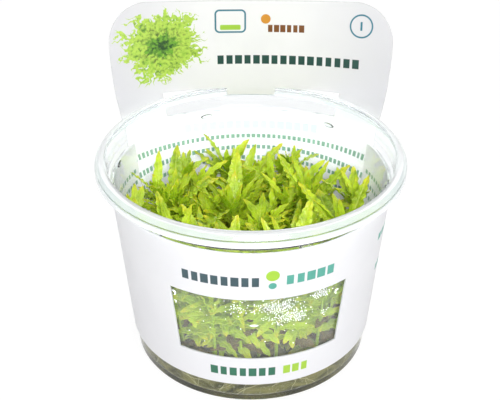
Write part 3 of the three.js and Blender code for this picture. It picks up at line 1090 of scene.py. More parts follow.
@dataclass
class Spine:
    """A leaf's midline from root to tip, with the direction across it at each station."""

    centres: list[Vector]
    across: list[Vector]

    def at(self, share: float) -> tuple[Vector, Vector, Vector]:
        """Returns the place, the across direction and the upper side at a share of the length."""
        last = len(self.centres) - 1
        step = min(int(share * last), last - 1)
        rest = share * last - step
        p0 = self.centres[max(step - 1, 0)]
        p1, p2 = self.centres[step], self.centres[step + 1]
        p3 = self.centres[min(step + 2, last)]
        place = 0.5 * (
            2 * p1
            + (p2 - p0) * rest
            + (2 * p0 - 5 * p1 + 4 * p2 - p3) * rest**2
            + (3 * p1 - p0 - 3 * p2 + p3) * rest**3
        )
        start, end = (p2 - p0).normalized(), (p3 - p1).normalized()
        along = start.lerp(end, rest)
        side = self.across[step].lerp(self.across[step + 1], rest).normalized()
        return place, side, side.cross(along).normalized()

    @staticmethod
    def arc(
        root: Vector, turn: float, pitch: float, droop: float, length: float, roll: float, steps: int = 6
    ) -> "Spine":
        """Makes the midline of a leaf that climbs from its root and bends over.

        Args:
            root: Where it starts.
            turn: Its heading, in degrees from +X.
            pitch: Its climb at the root, in degrees.
            droop: How much of the climb is lost by the tip.
            length: Its length.
            roll: How far it is rolled about itself.
            steps: The number of stretches.

        Returns:
            The midline.
        """
        heading = level_direction(turn)
        spine = Spine([], [])
        place = root.copy()
        for k in range(steps + 1):
            climb = math.radians(pitch - droop * k / steps)
            along = heading * math.cos(climb) + UP * math.sin(climb)
            across = along.cross(UP).normalized()
            across.rotate(Quaternion(along, math.radians(roll)))
            spine.centres.append(place.copy())
            spine.across.append(across)
            place += along * (length / steps)
        return spine

    @staticmethod
    def of_node(name: str) -> tuple["Spine", float]:
        """Reads a leaf's midline and its width from its CAD solid, whose sections have four corners.

        Args:
            name: The CAD node.

        Returns:
            The midline, and the leaf's greatest width.
        """
        bm = bmesh.new()
        bm.from_mesh(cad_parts[name].data)
        bmesh.ops.remove_doubles(bm, verts=bm.verts, dist=0.001 * MM)
        points = [v.co / MM for v in bm.verts]
        bm.free()
        ends = max(
            ((a, b) for a in points for b in points if a.z < b.z), key=lambda pair: (pair[1] - pair[0]).length
        )
        along = (ends[1] - ends[0]).normalized()
        points.sort(key=lambda point: point.dot(along))
        groups = [points[:5], *(points[i : i + 4] for i in range(5, len(points) - 5, 4)), points[-5:]]
        spine = Spine([], [])
        width = 0.0
        for group in groups:
            middle = sum(group, Vector()) / len(group)
            corners = sorted(group, key=lambda point: -(point - middle).length)[:4]
            pairs = [(a, b) for i, a in enumerate(corners) for b in corners[i + 1 :]]
            side = max(pairs, key=lambda pair: (pair[1] - pair[0]).length)
            others = [corner for corner in corners if corner not in side]
            across = (side[1] - side[0]).normalized()
            if across.cross(along).z < 0:
                across.negate()
            width = max(width, (side[1] - side[0]).length)
            spine.centres.append((others[0] + others[1]) / 2)
            spine.across.append(across)
        return spine, width


@dataclass(frozen=True)
class LeafForm:
    """How a leaf is shaped about its midline."""

    width: float
    waves: float
    scallop: float = 0.09
    ruffle: float = 0.32
    fold: float = 0.26
    base: float = 0.36
    phase: float = 0.0

    def half_width(self, side: float, along: float) -> float:
        """Returns the half width at a share of the length, on the side given by a sign."""
        body = lerp(self.base, 1.0, smoothstep(along, 0.0, 0.5))
        tip = max(0.0, 1 - clamp((along - 0.45) / 0.55) ** 1.9) ** 0.75
        beat = 2 * math.pi * self.waves * along + self.phase + (1.3 if side > 0 else 0.0)
        return self.width / 2 * body * max(tip, 0.06) * (1 + self.scallop * math.sin(beat))

    def point(self, spine: Spine, side: float, along: float) -> Vector:
        """Returns a point of the leaf's surface.

        Args:
            spine: The midline.
            side: From -1 at one margin, through 0 at the midrib, to 1 at the other.
            along: From 0 at the root to 1 at the tip.

        Returns:
            The place, in millimetres.
        """
        place, across, upper = spine.at(along)
        half = self.half_width(side, along)
        beat = 2 * math.pi * self.waves * along + self.phase + (2.4 if side > 0 else 0.0)
        reach = abs(side)
        fade = math.sin(math.pi * clamp(0.06 + 0.94 * along)) ** 0.5
        lift = self.fold * reach * half - 0.16 * reach**3 * half
        lift += self.ruffle * fade * reach**1.7 * math.cos(beat)
        lift -= 0.12 * math.exp(-((side / 0.16) ** 2)) * fade
        return place + across * (side * half) + upper * lift


class Thicket:
    """Keeps the leaves that are placed, so that a new one can be tested for room."""

    def __init__(self, cup: Cup, clearance: float = 0.35, floor: float = 12.6, ceiling: float = 61.0) -> None:
        """Starts an empty thicket inside a cup, between the gel and the leaves' ceiling."""
        self.cup = cup
        self.clearance = clearance
        self.floor = floor
        self.ceiling = ceiling
        self.placed: list[tuple[Vector, float, BVHTree]] = []

    def survey(self, spine: Spine, form: LeafForm, rows: int) -> list[Vector]:
        """Returns a leaf's coarse points, three to a row."""
        return [form.point(spine, side, k / rows) for k in range(rows + 1) for side in (-1.0, 0.0, 1.0)]

    def is_inside(self, points: list[Vector]) -> bool:
        """Whether every point lies above the gel, under the ceiling and inside the cup's wall."""
        return all(
            self.floor < point.z < self.ceiling
            and math.hypot(point.x, point.y) < self.cup.inner_radius(point.z) - self.clearance
            for point in points
        )

    def claim(self, points: list[Vector], may_touch: bool = False) -> bool:
        """Claims a leaf's place if nothing else is there.

        Args:
            points: The leaf's coarse points.
            may_touch: Whether to claim the place without looking for other leaves.

        Returns:
            Whether the place was claimed.
        """
        corners = [i for row in range(0, len(points) - 3, 3) for i in (row, row + 1)]
        faces = [(i, i + 1, i + 4, i + 3) for i in corners]
        middle = sum(points, Vector()) / len(points)
        reach = max((point - middle).length for point in points)
        tree = BVHTree.FromPolygons(points, faces)
        for other, other_reach, other_tree in () if may_touch else self.placed:
            if (other - middle).length < reach + other_reach and tree.overlap(other_tree):
                return False
        self.placed.append((middle, reach, tree))
        return True


@dataclass(frozen=True)
class Whorl:
    """A ring of leaves round a stem: how many, how far below the crown, and their form."""

    leaves: int
    drop: float
    pitch: float
    droop: float
    length: float
    width: float
    age: float
    tint: float
    offset: float = 0.0


class LeafMesh:
    """Collects many leaves in one mesh."""

    def __init__(self, thickness: float = 0.2) -> None:
        """Starts an empty mesh with the layers that the tissue reads."""
        self.thickness = thickness
        self.bm = bmesh.new()
        self.bm.loops.layers.uv.new("UVMap")
        self.age = self.bm.verts.layers.float.new("age")
        self.tint = self.bm.verts.layers.float.new("tint")

    def add(self, spine: Spine, form: LeafForm, age: float, tint: float, columns: int, rows: int) -> None:
        """Adds one leaf as a grid of columns and rows bent about its midline."""
        grid = bmesh.ops.create_grid(self.bm, x_segments=columns, y_segments=rows, size=0.5, calc_uvs=True)
        for vert in grid["verts"]:
            side, along = 2 * vert.co.x, vert.co.y + 0.5
            vert.co = form.point(spine, side, along) * MM
            vert[self.age] = age
            vert[self.tint] = tint

    @staticmethod
    def edges_of(ring: list[bmesh.types.BMVert]) -> list[bmesh.types.BMEdge]:
        """Returns the edges that run between the corners of a ring."""
        return list({e for v in ring for e in v.link_edges if all(w in ring for w in e.verts)})

    def thicken(self) -> None:
        """Gives every leaf its thickness."""
        bmesh.ops.solidify(self.bm, geom=self.bm.faces[:], thickness=self.thickness * MM)
        bmesh.ops.recalc_face_normals(self.bm, faces=self.bm.faces)

    def add_tube(
        self, points: list[Vector], radii: list[float], age: float, tint: float, sides: int = 10
    ) -> None:
        """Adds a round stalk through points, capped at both ends.

        Args:
            points: The stalk's midline.
            radii: Its radius at each point.
            age: The tissue's age.
            tint: The tissue's tint.
            sides: The number of sides.
        """
        axes = [(b - a).normalized() for a, b in zip(points, points[1:])]
        axes.append(axes[-1])
        frames = [
            Matrix.Translation(point * MM) @ axis.to_track_quat("Z", "Y").to_matrix().to_4x4()
            @ Matrix.Diagonal((radius * MM, radius * MM, 1.0, 1.0))
            for point, axis, radius in zip(points, axes, radii)
        ]
        circle = bmesh.ops.create_circle(self.bm, cap_ends=True, segments=sides, radius=1.0, matrix=frames[0])
        ring = circle["verts"]
        made = list(ring)
        for before, after in zip(frames, frames[1:]):
            grown = bmesh.ops.extrude_edge_only(self.bm, edges=self.edges_of(ring))["geom"]
            ring = [item for item in grown if isinstance(item, bmesh.types.BMVert)]
            bmesh.ops.transform(self.bm, matrix=after @ before.inverted(), verts=ring)
            made += ring
        bmesh.ops.edgeloop_fill(self.bm, edges=self.edges_of(ring))
        for vert in made:
            vert[self.age] = age
            vert[self.tint] = tint


@dataclass
class Planting:
    """Every plant in the cup: eight rosettes, and the small shoots that fill in between them."""

    cup: Cup
    tissue: Finish
    dice: random.Random
    gel_top: float = GEL_TOP
    crown_share: float = 1.13
    crown_rise: float = 2.4
    wave: float = 3.2
    large_wave: float = 2.5
    smooth_angle: float = 60.0
    stem_radius: float = 1.15
    shoots: int = 144
    shoot_reach: float = 39.6
    wall_rise: float = 6.0
    shoots_in_piece: int = 16
    shoot_heights: tuple[float, float] = (26.0, 41.0)
    shoot_lean: float = 0.93
    shoot_gap: float = 3.0
    shoot_stalk: float = 0.6
    rooting: float = 1.5
    leaf_start: float = 0.6
    shortenings: tuple[float, ...] = (1.0, 0.75)
    swings: tuple[float, ...] = (0, 12, -12, 24, -24, 36, -36)
    lifts: tuple[float, ...] = (0, 12, -10, 24)
    whorls: tuple[Whorl, ...] = (
        Whorl(4, 0.4, 74, 4, 10, 2.8, 0.05, 0.95),
        Whorl(5, 1.6, 64, 26, 17, 3.6, 0.1, 0.85, 30.0),
        Whorl(5, 5.0, 50, 40, 17, 3.8, 0.15, 0.75, 10.0),
        Whorl(4, 10.0, 36, 50, 16, 3.8, 0.25, 0.85, 50.0),
        Whorl(4, 15.0, 22, 50, 14, 3.8, 0.4, 0.85, 0.0),
        Whorl(4, 20.0, 8, 40, 12, 3.6, 0.8, 0.4, 20.0),
    )
    shoot_whorls: tuple[Whorl, ...] = (
        Whorl(3, 0.3, 76, 8, 8, 2.4, 0.05, 0.95),
        Whorl(4, 1.4, 60, 34, 14, 3.3, 0.1, 0.8, 40.0),
        Whorl(4, 5.0, 38, 46, 15, 3.8, 0.2, 0.7, 0.0),
        Whorl(4, 10.0, 22, 46, 14, 3.8, 0.25, 0.9, 60.0),
        Whorl(4, 15.0, 12, 40, 13, 3.6, 0.45, 0.85, 20.0),
        Whorl(3, 20.0, 4, 30, 11, 3.2, 0.9, 0.3, 0.0),
    )
    thicket: Thicket = field(init=False)

    def __post_init__(self) -> None:
        """Starts the thicket."""
        self.thicket = Thicket(self.cup)

    def build(self) -> None:
        """Builds the large leaves first, then the stems and their small leaves, then the shoots."""
        for plant in PLANTS:
            for leaf in LEAVES:
                self.build_large_leaf(plant, leaf)
        self.build_shoots([self.build_stem(plant) for plant in PLANTS])

    def build_large_leaf(self, plant: int, leaf: int) -> None:
        """Builds one large leaf in the place of its CAD solid."""
        node = f"plant_{plant}_leaf_{leaf}"
        spine, width = Spine.of_node(node)
        length = sum((b - a).length for a, b in zip(spine.centres, spine.centres[1:]))
        form = LeafForm(width * 0.96, length / self.large_wave, ruffle=0.5, phase=self.dice.uniform(0, 6.3))
        is_young = leaf <= YOUNG_LEAVES
        tint = self.dice.uniform(0.55, 1.0) if is_young else self.dice.uniform(0.35, 0.8)
        mesh = LeafMesh(0.24)
        mesh.add(spine, form, self.dice.uniform(0.0, 0.3), tint, 8, 44)
        mesh.thicken()
        self.thicket.claim(self.thicket.survey(spine, form, 8), may_touch=True)
        add_piece(f"{node}_blade", mesh.bm, [self.tissue], [node], self.smooth_angle)

    def grow_whorl(self, mesh: LeafMesh, crown: Vector, foot: Vector, whorl: Whorl, turn: float) -> None:
        """Adds the leaves of one whorl that find room.

        Args:
            mesh: The mesh that takes them.
            crown: The top of the stem.
            foot: The foot of the stem.
            whorl: The whorl.
            turn: The heading of its first leaf, in degrees.
        """
        for k in range(whorl.leaves):
            share = clamp((whorl.drop + self.dice.uniform(-0.8, 0.8)) / (crown.z - foot.z))
            root = crown.lerp(foot, share)
            heading = turn + whorl.offset + 360 / whorl.leaves * k + self.dice.uniform(-12, 12)
            length = whorl.length * self.dice.uniform(0.8, 1.15)
            form = LeafForm(
                whorl.width * self.dice.uniform(0.7, 1.0),
                length / self.wave,
                scallop=0.18,
                ruffle=0.42,
                phase=self.dice.uniform(0, 6.3),
            )
            bend = (whorl.pitch + self.dice.uniform(-8, 8), whorl.droop + self.dice.uniform(-12, 12))
            roll = self.dice.uniform(-25, 25)
            spine = self.find_room(root, heading, bend, length, roll, form)
            if spine is None:
                continue
            age = clamp(whorl.age + self.dice.uniform(-0.15, 0.3))
            tint = clamp(whorl.tint + self.dice.uniform(-0.2, 0.2))
            mesh.add(spine, form, age, tint, 2, 12)

    def find_room(
        self,
        root: Vector,
        heading: float,
        bend: tuple[float, float],
        length: float,
        roll: float,
        form: LeafForm,
    ) -> Spine | None:
        """Turns, lifts and shortens a leaf until it has room, and claims its place.

        Args:
            root: Where it leaves the stem.
            heading: Its heading, in degrees.
            bend: Its climb at the root and how much of it is lost.
            length: Its length.
            roll: Its roll.
            form: Its form.

        Returns:
            Its midline, or None if there is no room.
        """
        for shorten in self.shortenings:
            for lift in self.lifts:
                for swing in self.swings:
                    turn = heading + swing
                    start = root + level_direction(turn) * self.leaf_start
                    spine = Spine.arc(start, turn, bend[0] + lift, bend[1], length * shorten, roll)
                    points = self.thicket.survey(spine, form, 4)
                    if self.thicket.is_inside(points) and self.thicket.claim(points):
                        return spine
        return None

    def build_stem(self, plant: int) -> Vector:
        """Builds a rosette's stem with its small leaves, and returns its crown."""
        node = f"plant_{plant}_stem"
        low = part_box(node)[0].z
        corners = [v.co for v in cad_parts[node].data.vertices if v.co.z < low + 0.0005]
        foot = sum(corners, Vector()) / len(corners) / MM
        crown_leaves = [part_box(f"plant_{plant}_leaf_{leaf}") for leaf in LEAVES[:YOUNG_LEAVES]]
        head = max(box[0].z for box in crown_leaves) / MM + self.crown_rise
        crown = Vector((foot.x * self.crown_share, foot.y * self.crown_share, head))
        mesh = LeafMesh()
        turn = self.dice.uniform(0, 360)
        for whorl in self.whorls:
            self.grow_whorl(mesh, crown, foot, whorl, turn)
        mesh.thicken()
        self.add_stalk(mesh, foot, crown, self.stem_radius)
        add_piece(f"{node}_leafy", mesh.bm, [self.tissue], [node], self.smooth_angle)
        return crown

    def add_stalk(self, mesh: LeafMesh, foot: Vector, crown: Vector, radius: float) -> None:
        """Adds a stalk that swells a little at each joint and narrows to the crown."""
        steps = 14
        points = [foot.lerp(crown, k / steps) for k in range(steps + 1)]
        radii = [radius * lerp(1.0, 0.55, k / steps) * (1.12 if k % 2 else 0.92) for k in range(steps + 1)]
        mesh.add_tube(points, radii, 0.3, 0.45)

    def build_shoots(self, crowns: list[Vector]) -> None:
        """Builds the small shoots that fill in between the rosettes, on a sunflower spiral."""
        for first in range(0, self.shoots, self.shoots_in_piece):
            leaves, stalks = LeafMesh(), LeafMesh()
            for k in range(first, min(first + self.shoots_in_piece, self.shoots)):
                reach = self.shoot_reach * math.sqrt((k + 0.5) / self.shoots)
                turn = math.radians(GOLDEN_ANGLE * k + self.dice.uniform(-8, 8))
                rise = self.wall_rise * (reach / self.shoot_reach) ** 3
                height = self.dice.uniform(*self.shoot_heights) + rise
                crown = Vector((reach * math.cos(turn), reach * math.sin(turn), height))
                if min((crown.xy - other.xy).length for other in crowns) < self.shoot_gap:
                    continue
                lean, depth = self.shoot_lean, self.gel_top - self.rooting
                foot = Vector((crown.x * lean, crown.y * lean, depth))
                heading = self.dice.uniform(0, 360)
                for whorl in self.shoot_whorls:
                    self.grow_whorl(leaves, crown, foot, whorl, heading)
                self.add_stalk(stalks, foot, crown, self.shoot_stalk)
            leaves.thicken()
            number = first // self.shoots_in_piece + 1
            for part, mesh, slot in (("shoots", leaves, Slot.LEAF), ("stalks", stalks, Slot.STEM)):
                add_piece(f"side_{part}_{number}", mesh.bm, [self.tissue], (), self.smooth_angle)


@dataclass
class GelDisc:
    """The disc of gel with the roots that run through it."""

    cup: Cup
    gel: Finish
    root: Finish
    dice: random.Random
    top: float = GEL_TOP
    wetting: float = 0.04
    threads: int = 130

    def build(self) -> None:
        """Builds the gel, which creeps a little up the wall, and the roots against the wall."""
        floor_top = self.cup.foot_rise + self.cup.wall - self.wetting
        bend = self.cup.floor_bend
        profile = [
            Corner(0.0, floor_top),
            Corner(self.cup.floor_radius, floor_top, 0.4),
            Corner(self.cup.inner_radius(bend) + self.wetting, bend, 0.7),
            Corner(self.cup.inner_radius(self.top + 0.8) + self.wetting, self.top + 0.8, 0.1),
            Corner(self.cup.inner_radius(self.top) - 2.2, self.top - 0.3, 0.8),
            Corner(0.0, self.top - 0.4),
        ]
        add_piece("gel_disc", spin_profile(profile, 128), [self.gel], ["nutrient_gel"])
        mesh = LeafMesh()
        for _ in range(self.threads):
            self.add_root(mesh)
        add_piece("gel_roots", mesh.bm, [self.root])

    def add_root(self, mesh: LeafMesh) -> None:
        """Adds one thin root that wanders down and along the gel's outer face."""
        turn = self.dice.uniform(0, 2 * math.pi)
        height = self.dice.uniform(5.0, 11.8)
        drift = self.dice.uniform(-0.035, 0.035)
        fall = self.dice.uniform(-0.6, 0.9)
        bend = self.dice.uniform(-0.18, 0.18)
        points = []
        for _ in range(self.dice.randint(8, 18)):
            if not 1.8 < height < 12.0:
                break
            radius = self.cup.inner_radius(height) + self.wetting
            points.append(around(turn, radius, height))
            turn += drift + self.dice.uniform(-0.01, 0.01)
            height -= fall * self.dice.uniform(0.6, 1.3)
            fall += bend
        if len(points) > 2:
            thin = self.dice.uniform(0.07, 0.2)
            radii = [thin * lerp(1.0, 0.5, k / len(points)) for k in range(len(points))]
            mesh.add_tube(points, radii, 0.5, 0.5, 6)


@dataclass(frozen=True)
class DewPatch:
    """A patch of fine droplets on the inner wall: its middle, its spread and their number."""

    angle: float
    height: float
    wide: float
    tall: float
    droplets: int


@dataclass(frozen=True)
class DewRing:
    """A droplet drawn out into an open ring, bulging to the side given by a sign."""

    angle: float
    height: float
    size: float
    bulge: int


@dataclass
class Condensation:
    """Water on the inside of the cup's wall behind the window: droplets, open rings, and a film that is
    partly fine condensation and partly a painted reflection.
    """

    cup: Cup
    dew: Finish
    large_dew: Finish
    mist_and_reflection: Finish
    dice: random.Random
    # The film's sides, bottom and top: where the painted reflection of the light lies on the wall.
    film_sides: tuple[float, float] = (-22.5, 26.2)
    film_bottom: float = 18.9
    film_top: float = 58.0
    film_thickness: float = 0.04
    drop_sizes: tuple[float, float] = (0.13, 0.23)
    drop_spacing: float = 0.44
    large_place: tuple[float, float] = (178.7, 32.5)
    large_half_size: tuple[float, float] = (1.5, 0.45)
    ring_sweep: tuple[float, float] = (125.0, -80.0)
    patches: tuple[DewPatch, ...] = (
        DewPatch(169.5, 39.8, 4.2, 1.2, 480),
        DewPatch(164.0, 35.0, 3.8, 1.1, 460),
        DewPatch(150.0, 41.2, 2.0, 0.8, 160),
        DewPatch(147.0, 33.2, 1.2, 0.6, 20),
        DewPatch(185.5, 39.5, 2.4, 1.6, 50),
        DewPatch(180.0, 33.0, 24.0, 7.0, 30),
    )
    rings: tuple[DewRing, ...] = (
        DewRing(214.1, 40.4, 0.8, 1),
        DewRing(213.7, 36.9, 0.5, 1),
        DewRing(141.0, 39.2, 0.8, -1),
    )

    def build(self) -> None:
        """Builds the film, every droplet and the open rings."""
        self.build_film()
        for number, patch in enumerate(self.patches, 1):
            add_piece(f"condensation_{number}", self.patch_mesh(patch), [self.dew])
        bm = bmesh.new()
        self.add_droplet(bm, *self.large_place, *self.large_half_size)
        add_piece("large_droplet", bm, [self.large_dew])
        mesh = LeafMesh()
        for ring in self.rings:
            self.add_ring(mesh, ring)
        add_piece("droplet_rings", mesh.bm, [self.dew])

    def patch_mesh(self, patch: DewPatch) -> bmesh.types.BMesh:
        """Returns a patch's droplets, each of which keeps clear of those before it."""
        bm = bmesh.new()
        taken: list[Vector] = []
        for _ in range(patch.droplets):
            angle = self.dice.gauss(patch.angle, patch.wide)
            height = self.dice.gauss(patch.height, patch.tall)
            spot = self.on_wall(angle, height, 0.0)
            if all((spot - other).length > self.drop_spacing for other in taken):
                taken.append(spot)
                size = self.dice.uniform(*self.drop_sizes)
                self.add_droplet(bm, angle, height, size, size)
        return bm

    def build_film(self) -> None:
        """Builds the thin film that veils the middle of the window, a painted reflection of the light laid as
        fine condensation.
        """
        bm = bmesh.new()
        grid = bmesh.ops.create_grid(bm, x_segments=28, y_segments=10, size=0.5)
        for vert in grid["verts"]:
            across = lerp(*self.film_sides, vert.co.x + 0.5)
            height = lerp(self.film_bottom, self.film_top, vert.co.y + 0.5)
            radius = self.cup.inner_radius(height) - 1.5 * self.film_thickness
            vert.co = Vector((across, -math.sqrt(radius**2 - across**2), height)) * MM
        bmesh.ops.solidify(bm, geom=bm.faces[:], thickness=self.film_thickness * MM)
        # A white veil: painted reflection of the light on the wall, laid as a film of fine condensation.
        add_piece("mist_and_reflection_film", bm, [self.mist_and_reflection])

    def on_wall(self, angle: float, height: float, inset: float) -> Vector:
        """Returns the place at an angle, a height and a depth inside the inner wall."""
        return around(math.radians(angle), self.cup.inner_radius(height) - inset, height)

    def add_droplet(
        self, bm: bmesh.types.BMesh, angle: float, height: float, wide: float, tall: float
    ) -> None:
        """Adds one low dome of a droplet on the inner wall.

        Args:
            bm: The mesh that takes it.
            angle: Its angle round the cup.
            height: Its height.
            wide: Its half width.
            tall: Its half height.
        """
        place = Matrix.Translation(self.on_wall(angle, height, 0.25 * min(wide, tall)) * MM)
        turn = Matrix.Rotation(-math.radians(angle), 4, "Z")
        shape = Matrix.Diagonal((wide * MM, 0.4 * min(wide, tall) * MM, tall * MM, 1.0))
        bmesh.ops.create_uvsphere(bm, u_segments=7, v_segments=4, radius=1.0, matrix=place @ turn @ shape)

    def add_ring(self, mesh: LeafMesh, ring: DewRing, steps: int = 12) -> None:
        """Adds one open ring as a thin bead of water that thins out to its ends."""
        points, radii = [], []
        for k in range(steps + 1):
            sweep = math.radians(lerp(*self.ring_sweep, k / steps))
            across = ring.bulge * ring.size * math.cos(sweep)
            angle = ring.angle - math.degrees(across / self.cup.inner_radius(ring.height))
            points.append(self.on_wall(angle, ring.height + ring.size * math.sin(sweep), 0.12))
            radii.append(0.26 * ring.size * (0.35 + math.sin(math.pi * k / steps)))
        mesh.add_tube(points, radii, 0.5, 0.5, 8)


@dataclass(frozen=True)
class Viewpoint:
    """The photograph's camera, fitted to the rim, the ledge, the sleeve and the base."""

    back: float = 281.139
    height: float = 226.083
    pitch: float = 0.554
    focal_pixels: float = 993.886
    frame_width: float = 500.0
    axis_pixel: tuple[float, float] = (250.876, 199.223)
    frame_middle: tuple[float, float] = (250.0, 200.0)
    sensor: float = 36.0

    def build(self) -> None:
        """Makes the scene's camera."""
        data = bpy.data.cameras.new("photo_camera")
        data.sensor_width = self.sensor
        data.lens = self.focal_pixels * self.sensor / self.frame_width
        data.shift_x = (self.frame_middle[0] - self.axis_pixel[0]) / self.frame_width
        data.shift_y = (self.axis_pixel[1] - self.frame_middle[1]) / self.frame_width
        data.clip_start, data.clip_end = 0.01, 20.0
        camera = add_object("photo_camera", data)
        camera.location = (0.0, -self.back * MM, self.height * MM)
        camera.rotation_euler = (math.pi / 2 - self.pitch, 0.0, 0.0)
        bpy.context.scene.camera = camera


def hang_light(data: bpy.types.Light, place: tuple[float, float, float]) -> None:
    """Hangs a light at a place, aimed at the middle of the cup."""
    light = add_object(data.name, data)
    light.location = place
    aim = UP * LIGHT_AIM * MM - Vector(place)
    light.rotation_euler = aim.to_track_quat("-Z", "Y").to_euler()


@dataclass(frozen=True)
class Softbox:
    """A soft rectangular light that faces the object."""

    name: str
    place: tuple[float, float, float]
    size: tuple[float, float]
    power: float

    def build(self) -> None:
        """Makes the light, aimed at the middle of the cup."""
        data = bpy.data.lights.new(self.name, "AREA")
        data.shape = "RECTANGLE"
        data.size, data.size_y = self.size
        data.energy = self.power
        hang_light(data, self.place)


@dataclass(frozen=True)
class Spot:
    """A soft-edged spot that brightens the middle of the object."""

    name: str
    place: tuple[float, float, float]
    power: float
    cone: float = 7.5
    radius: float = 0.06

    def build(self) -> None:
        """Makes the light, aimed at the middle of the cup."""
        data = bpy.data.lights.new(self.name, "SPOT")
        data.spot_size = math.radians(self.cone)
        data.spot_blend = 1.0
        data.shadow_soft_size = self.radius
        data.energy = self.power
        hang_light(data, self.place)


@dataclass(frozen=True)
class LightTable(Finish):
    """The white surface that the cup stands on, lit from below."""

    glow: float = 0.88

    def write(self, graph: Graph, shader: bpy.types.Node) -> None:
        """Writes an even matt surface that shines white."""
        cloud = graph.noise(graph.object_place(), 4.0, 2.0)
        values = {
            "Base Color": graph.mix(cloud, linear(112, 112, 112), linear(108, 108, 109)),
            "Emission Color": WHITE,
            "Emission Strength": self.glow,
            "Roughness": 0.7,
            "Specular IOR Level": 0.2,
        }
        graph.dress(shader, values)


@dataclass
class Studio:
    """A white table, a white surround that is darker at the sides, and soft lights."""

    floor: Finish
    table_gap: float = 0.2
    surround: float = 0.38
    side_surround: float = 0.25
    lights: tuple[Softbox, ...] = (
        Softbox("overhead_light", (0.0, 0.0, 1.2), (1.0, 1.0), 6.6),
        Softbox("front_light", (0.12, -0.9, 0.6), (0.6, 0.6), 6.2),
    )
    spot: Spot = Spot("front_spot", (0.05, -0.95, 0.7), 20.0)

    def build(self) -> None:
        """Makes the table, the surround and the lights."""
        bm = bmesh.new()
        bmesh.ops.create_grid(bm, x_segments=8, y_segments=8, size=8.0)
        bmesh.ops.translate(bm, vec=(0.0, 0.0, -self.table_gap * MM), verts=bm.verts)
        link_mesh("table", bm, [self.floor])
        bpy.context.scene.world = self.build_surround()
        bpy.context.scene.view_settings.view_transform = "Standard"
        for light in (*self.lights, self.spot):
            light.build()

    def build_surround(self) -> bpy.types.World:
        """Makes the surround, whose strength falls from the front and back to the two sides."""
        world = bpy.data.worlds.new("white_surround")
        world.use_nodes = True
        graph = Graph(world.node_tree)
        heading = graph.add("ShaderNodeTexCoord").outputs["Generated"]
        sideways = graph.math("ABSOLUTE", graph.split(heading)[0])
        strength = graph.ramp(sideways, 0.25, 0.85, self.surround, self.side_surround)
        graph.dress(world.node_tree.nodes["Background"], {"Color": WHITE, "Strength": strength})
        return world


def inside_print(effects: Effects) -> PrintedCard:
    """Makes the card face that looks at the cup, with the header's marks and the care lines."""
    header_rows = (
        DashRow((13.2, 82.2), (25.6, 1.6), 3.2, Ink.PINE),
        DashRow((12.3, 93.6), (6.6, 1.3), 2.4, Ink.UMBER),
    )
    care_rows = tuple(
        DashRow((0.0, height), (47.5, 0.75), 1.9, Ink.MEADOW, 0.85, 0.13) for height in CARE_HEIGHTS
    )
    side_rows = tuple(
        DashRow((middle, height), (8.0, 0.75), 1.9, Ink.MEADOW, 0.8, 0.13)
        for height in CARE_HEIGHTS
        for middle in (120.5, 279.5)
    )
    show_through = (DashRow((0.0, 56.8), (25.0, 1.5), 3.2, Ink.MINT, 0.7),)
    marks = (
        Mark((-7.2, 96.2), (5.2, 3.9), 1.4, Ink.OCEAN, 0.6),
        Mark((-7.2, 94.0), (3.6, 0.9), 0.4, Ink.LIME),
        Mark((5.2, 97.0), (1.7, 1.7), 1.7, Ink.AMBER),
        Mark((38.6, 95.4), (3.8, 3.8), 3.8, Ink.OCEAN, 0.55),
        Mark((38.6, 95.4), (0.35, 1.5), 0.1, Ink.OCEAN),
        Mark((0.0, 46.5), (6.0, 6.0), 1.2, Ink.MIST, 0.8, 0.6),
    )
    dark, deep = linear(30, 74, 24), linear(62, 122, 30)
    leaf, fresh = linear(116, 176, 44), linear(186, 216, 84)
    middle = (-31.5, 88.3)
    tufts = (
        BladeTuft(middle, 18.4, 27, 1.15, leaf, fresh, 0.37),
        BladeTuft(middle, 16.2, 31, 1.1, deep, fresh),
        BladeTuft(middle, 13.0, 27, 0.9, leaf, fresh, 0.2),
        BladeTuft(middle, 11.0, 23, 0.85, dark, fresh, 0.45),
        BladeTuft(middle, 9.0, 19, 0.8, deep, fresh, 0.1),
        BladeTuft(middle, 7.0, 13, 0.75, dark, leaf, 0.3),
        BladeTuft(middle, 4.5, 9, 0.7, dark, leaf, 0.15),
    )
    rows = header_rows + care_rows + side_rows + show_through
    # Painted shade: the header's white turns to a greyer white towards its ends.
    ends = {"white": linear(243, 243, 242), "painted_shade_white": linear(213, 213, 216)}
    # Painted glow of 0.08 below the slot, in place of daylight through the card.
    return PrintedCard("card_inside", effects, rows=rows, marks=marks, tufts=tufts, painted_glow=0.08, **ends)


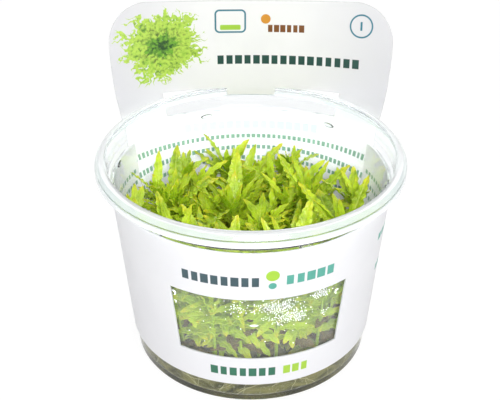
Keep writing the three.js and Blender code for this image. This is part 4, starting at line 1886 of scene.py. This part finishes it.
def outside_print(effects: Effects) -> PrintedCard:
    """Makes the card face that looks out, with the rows above and below the window."""

    def row(start: float, end: float, height: float, half: float, pitch: float, ink: Ink) -> DashRow:
        """Makes a row between two angles from the front."""
        middle = PRINT_ORIGIN - (start + end) / 2 * MM_PER_DEGREE
        return DashRow((middle, height), ((end - start) / 2 * MM_PER_DEGREE, half), pitch, ink)

    rows = (
        row(-28.0, 3.7, 51.0, 1.75, 3.0, Ink.SLATE),
        row(13.0, 34.5, 51.0, 1.75, 3.0, Ink.TEAL),
        row(-18.3, 11.3, 13.4, 1.75, 3.4, Ink.FOREST),
        row(13.8, 26.0, 13.4, 1.75, 3.4, Ink.LIME),
        row(64.0, 92.0, 50.0, 1.3, 3.0, Ink.TEAL),
        row(68.0, 92.0, 36.0, 1.3, 3.0, Ink.TEAL),
        DashRow((0.0, 56.8), (25.0, 1.5), 3.2, Ink.TEAL),
        DashRow((0.0, 96.0), (30.0, 1.6), 3.2, Ink.PINE),
    )
    dots = PRINT_ORIGIN - 8.3 * MM_PER_DEGREE
    rows += tuple(DashRow((0.0, 22.0 + 4.2 * k), (34.0, 0.7), 3.1, Ink.SLATE) for k in range(4))
    marks = (
        Mark((0.0, 46.5), (6.0, 6.0), 1.2, Ink.SLATE, 0.8),
        Mark((0.0, 46.5), (2.4, 2.4), 2.4, Ink.TEAL),
        Mark((dots, 53.2), (2.0, 2.0), 2.0, Ink.LIME),
        Mark((dots, 49.3), (1.2, 1.2), 1.2, Ink.TEAL),
    )
    return PrintedCard("card_outside", effects, white=linear(233, 233, 237), rows=rows, marks=marks)


def main() -> None:
    """Builds the camera, every sub-assembly and the studio, in order."""
    logging.basicConfig(level=logging.INFO, format="%(name)s: %(message)s")
    Viewpoint().build()
    effects = Effects.make()
    shoulder = ClearPlastic("clear_shoulder", 0.95, 0.1, linear(220, 228, 226))
    cup = Cup(ClearPlastic("clear_wall"), ClearPlastic("cloudy_rim", 0.4, 0.12), shoulder)
    cup.build()
    Sleeve(cup, inside_print(effects), outside_print(effects), CardEdge("card_edge", effects)).build()
    GelDisc(cup, Gel("olive_gel"), Root("pale_root"), random.Random(5)).build()
    Planting(cup, Tissue("leaf_tissue", effects), random.Random(11)).build()
    Condensation(cup, Dew("dew"), Dew("large_dew", 0.12), MistAndReflectionVeil("mist_and_reflection"), random.Random(23)).build()
    Studio(LightTable("light_table")).build()


if __name__ == "__main__":
    main()
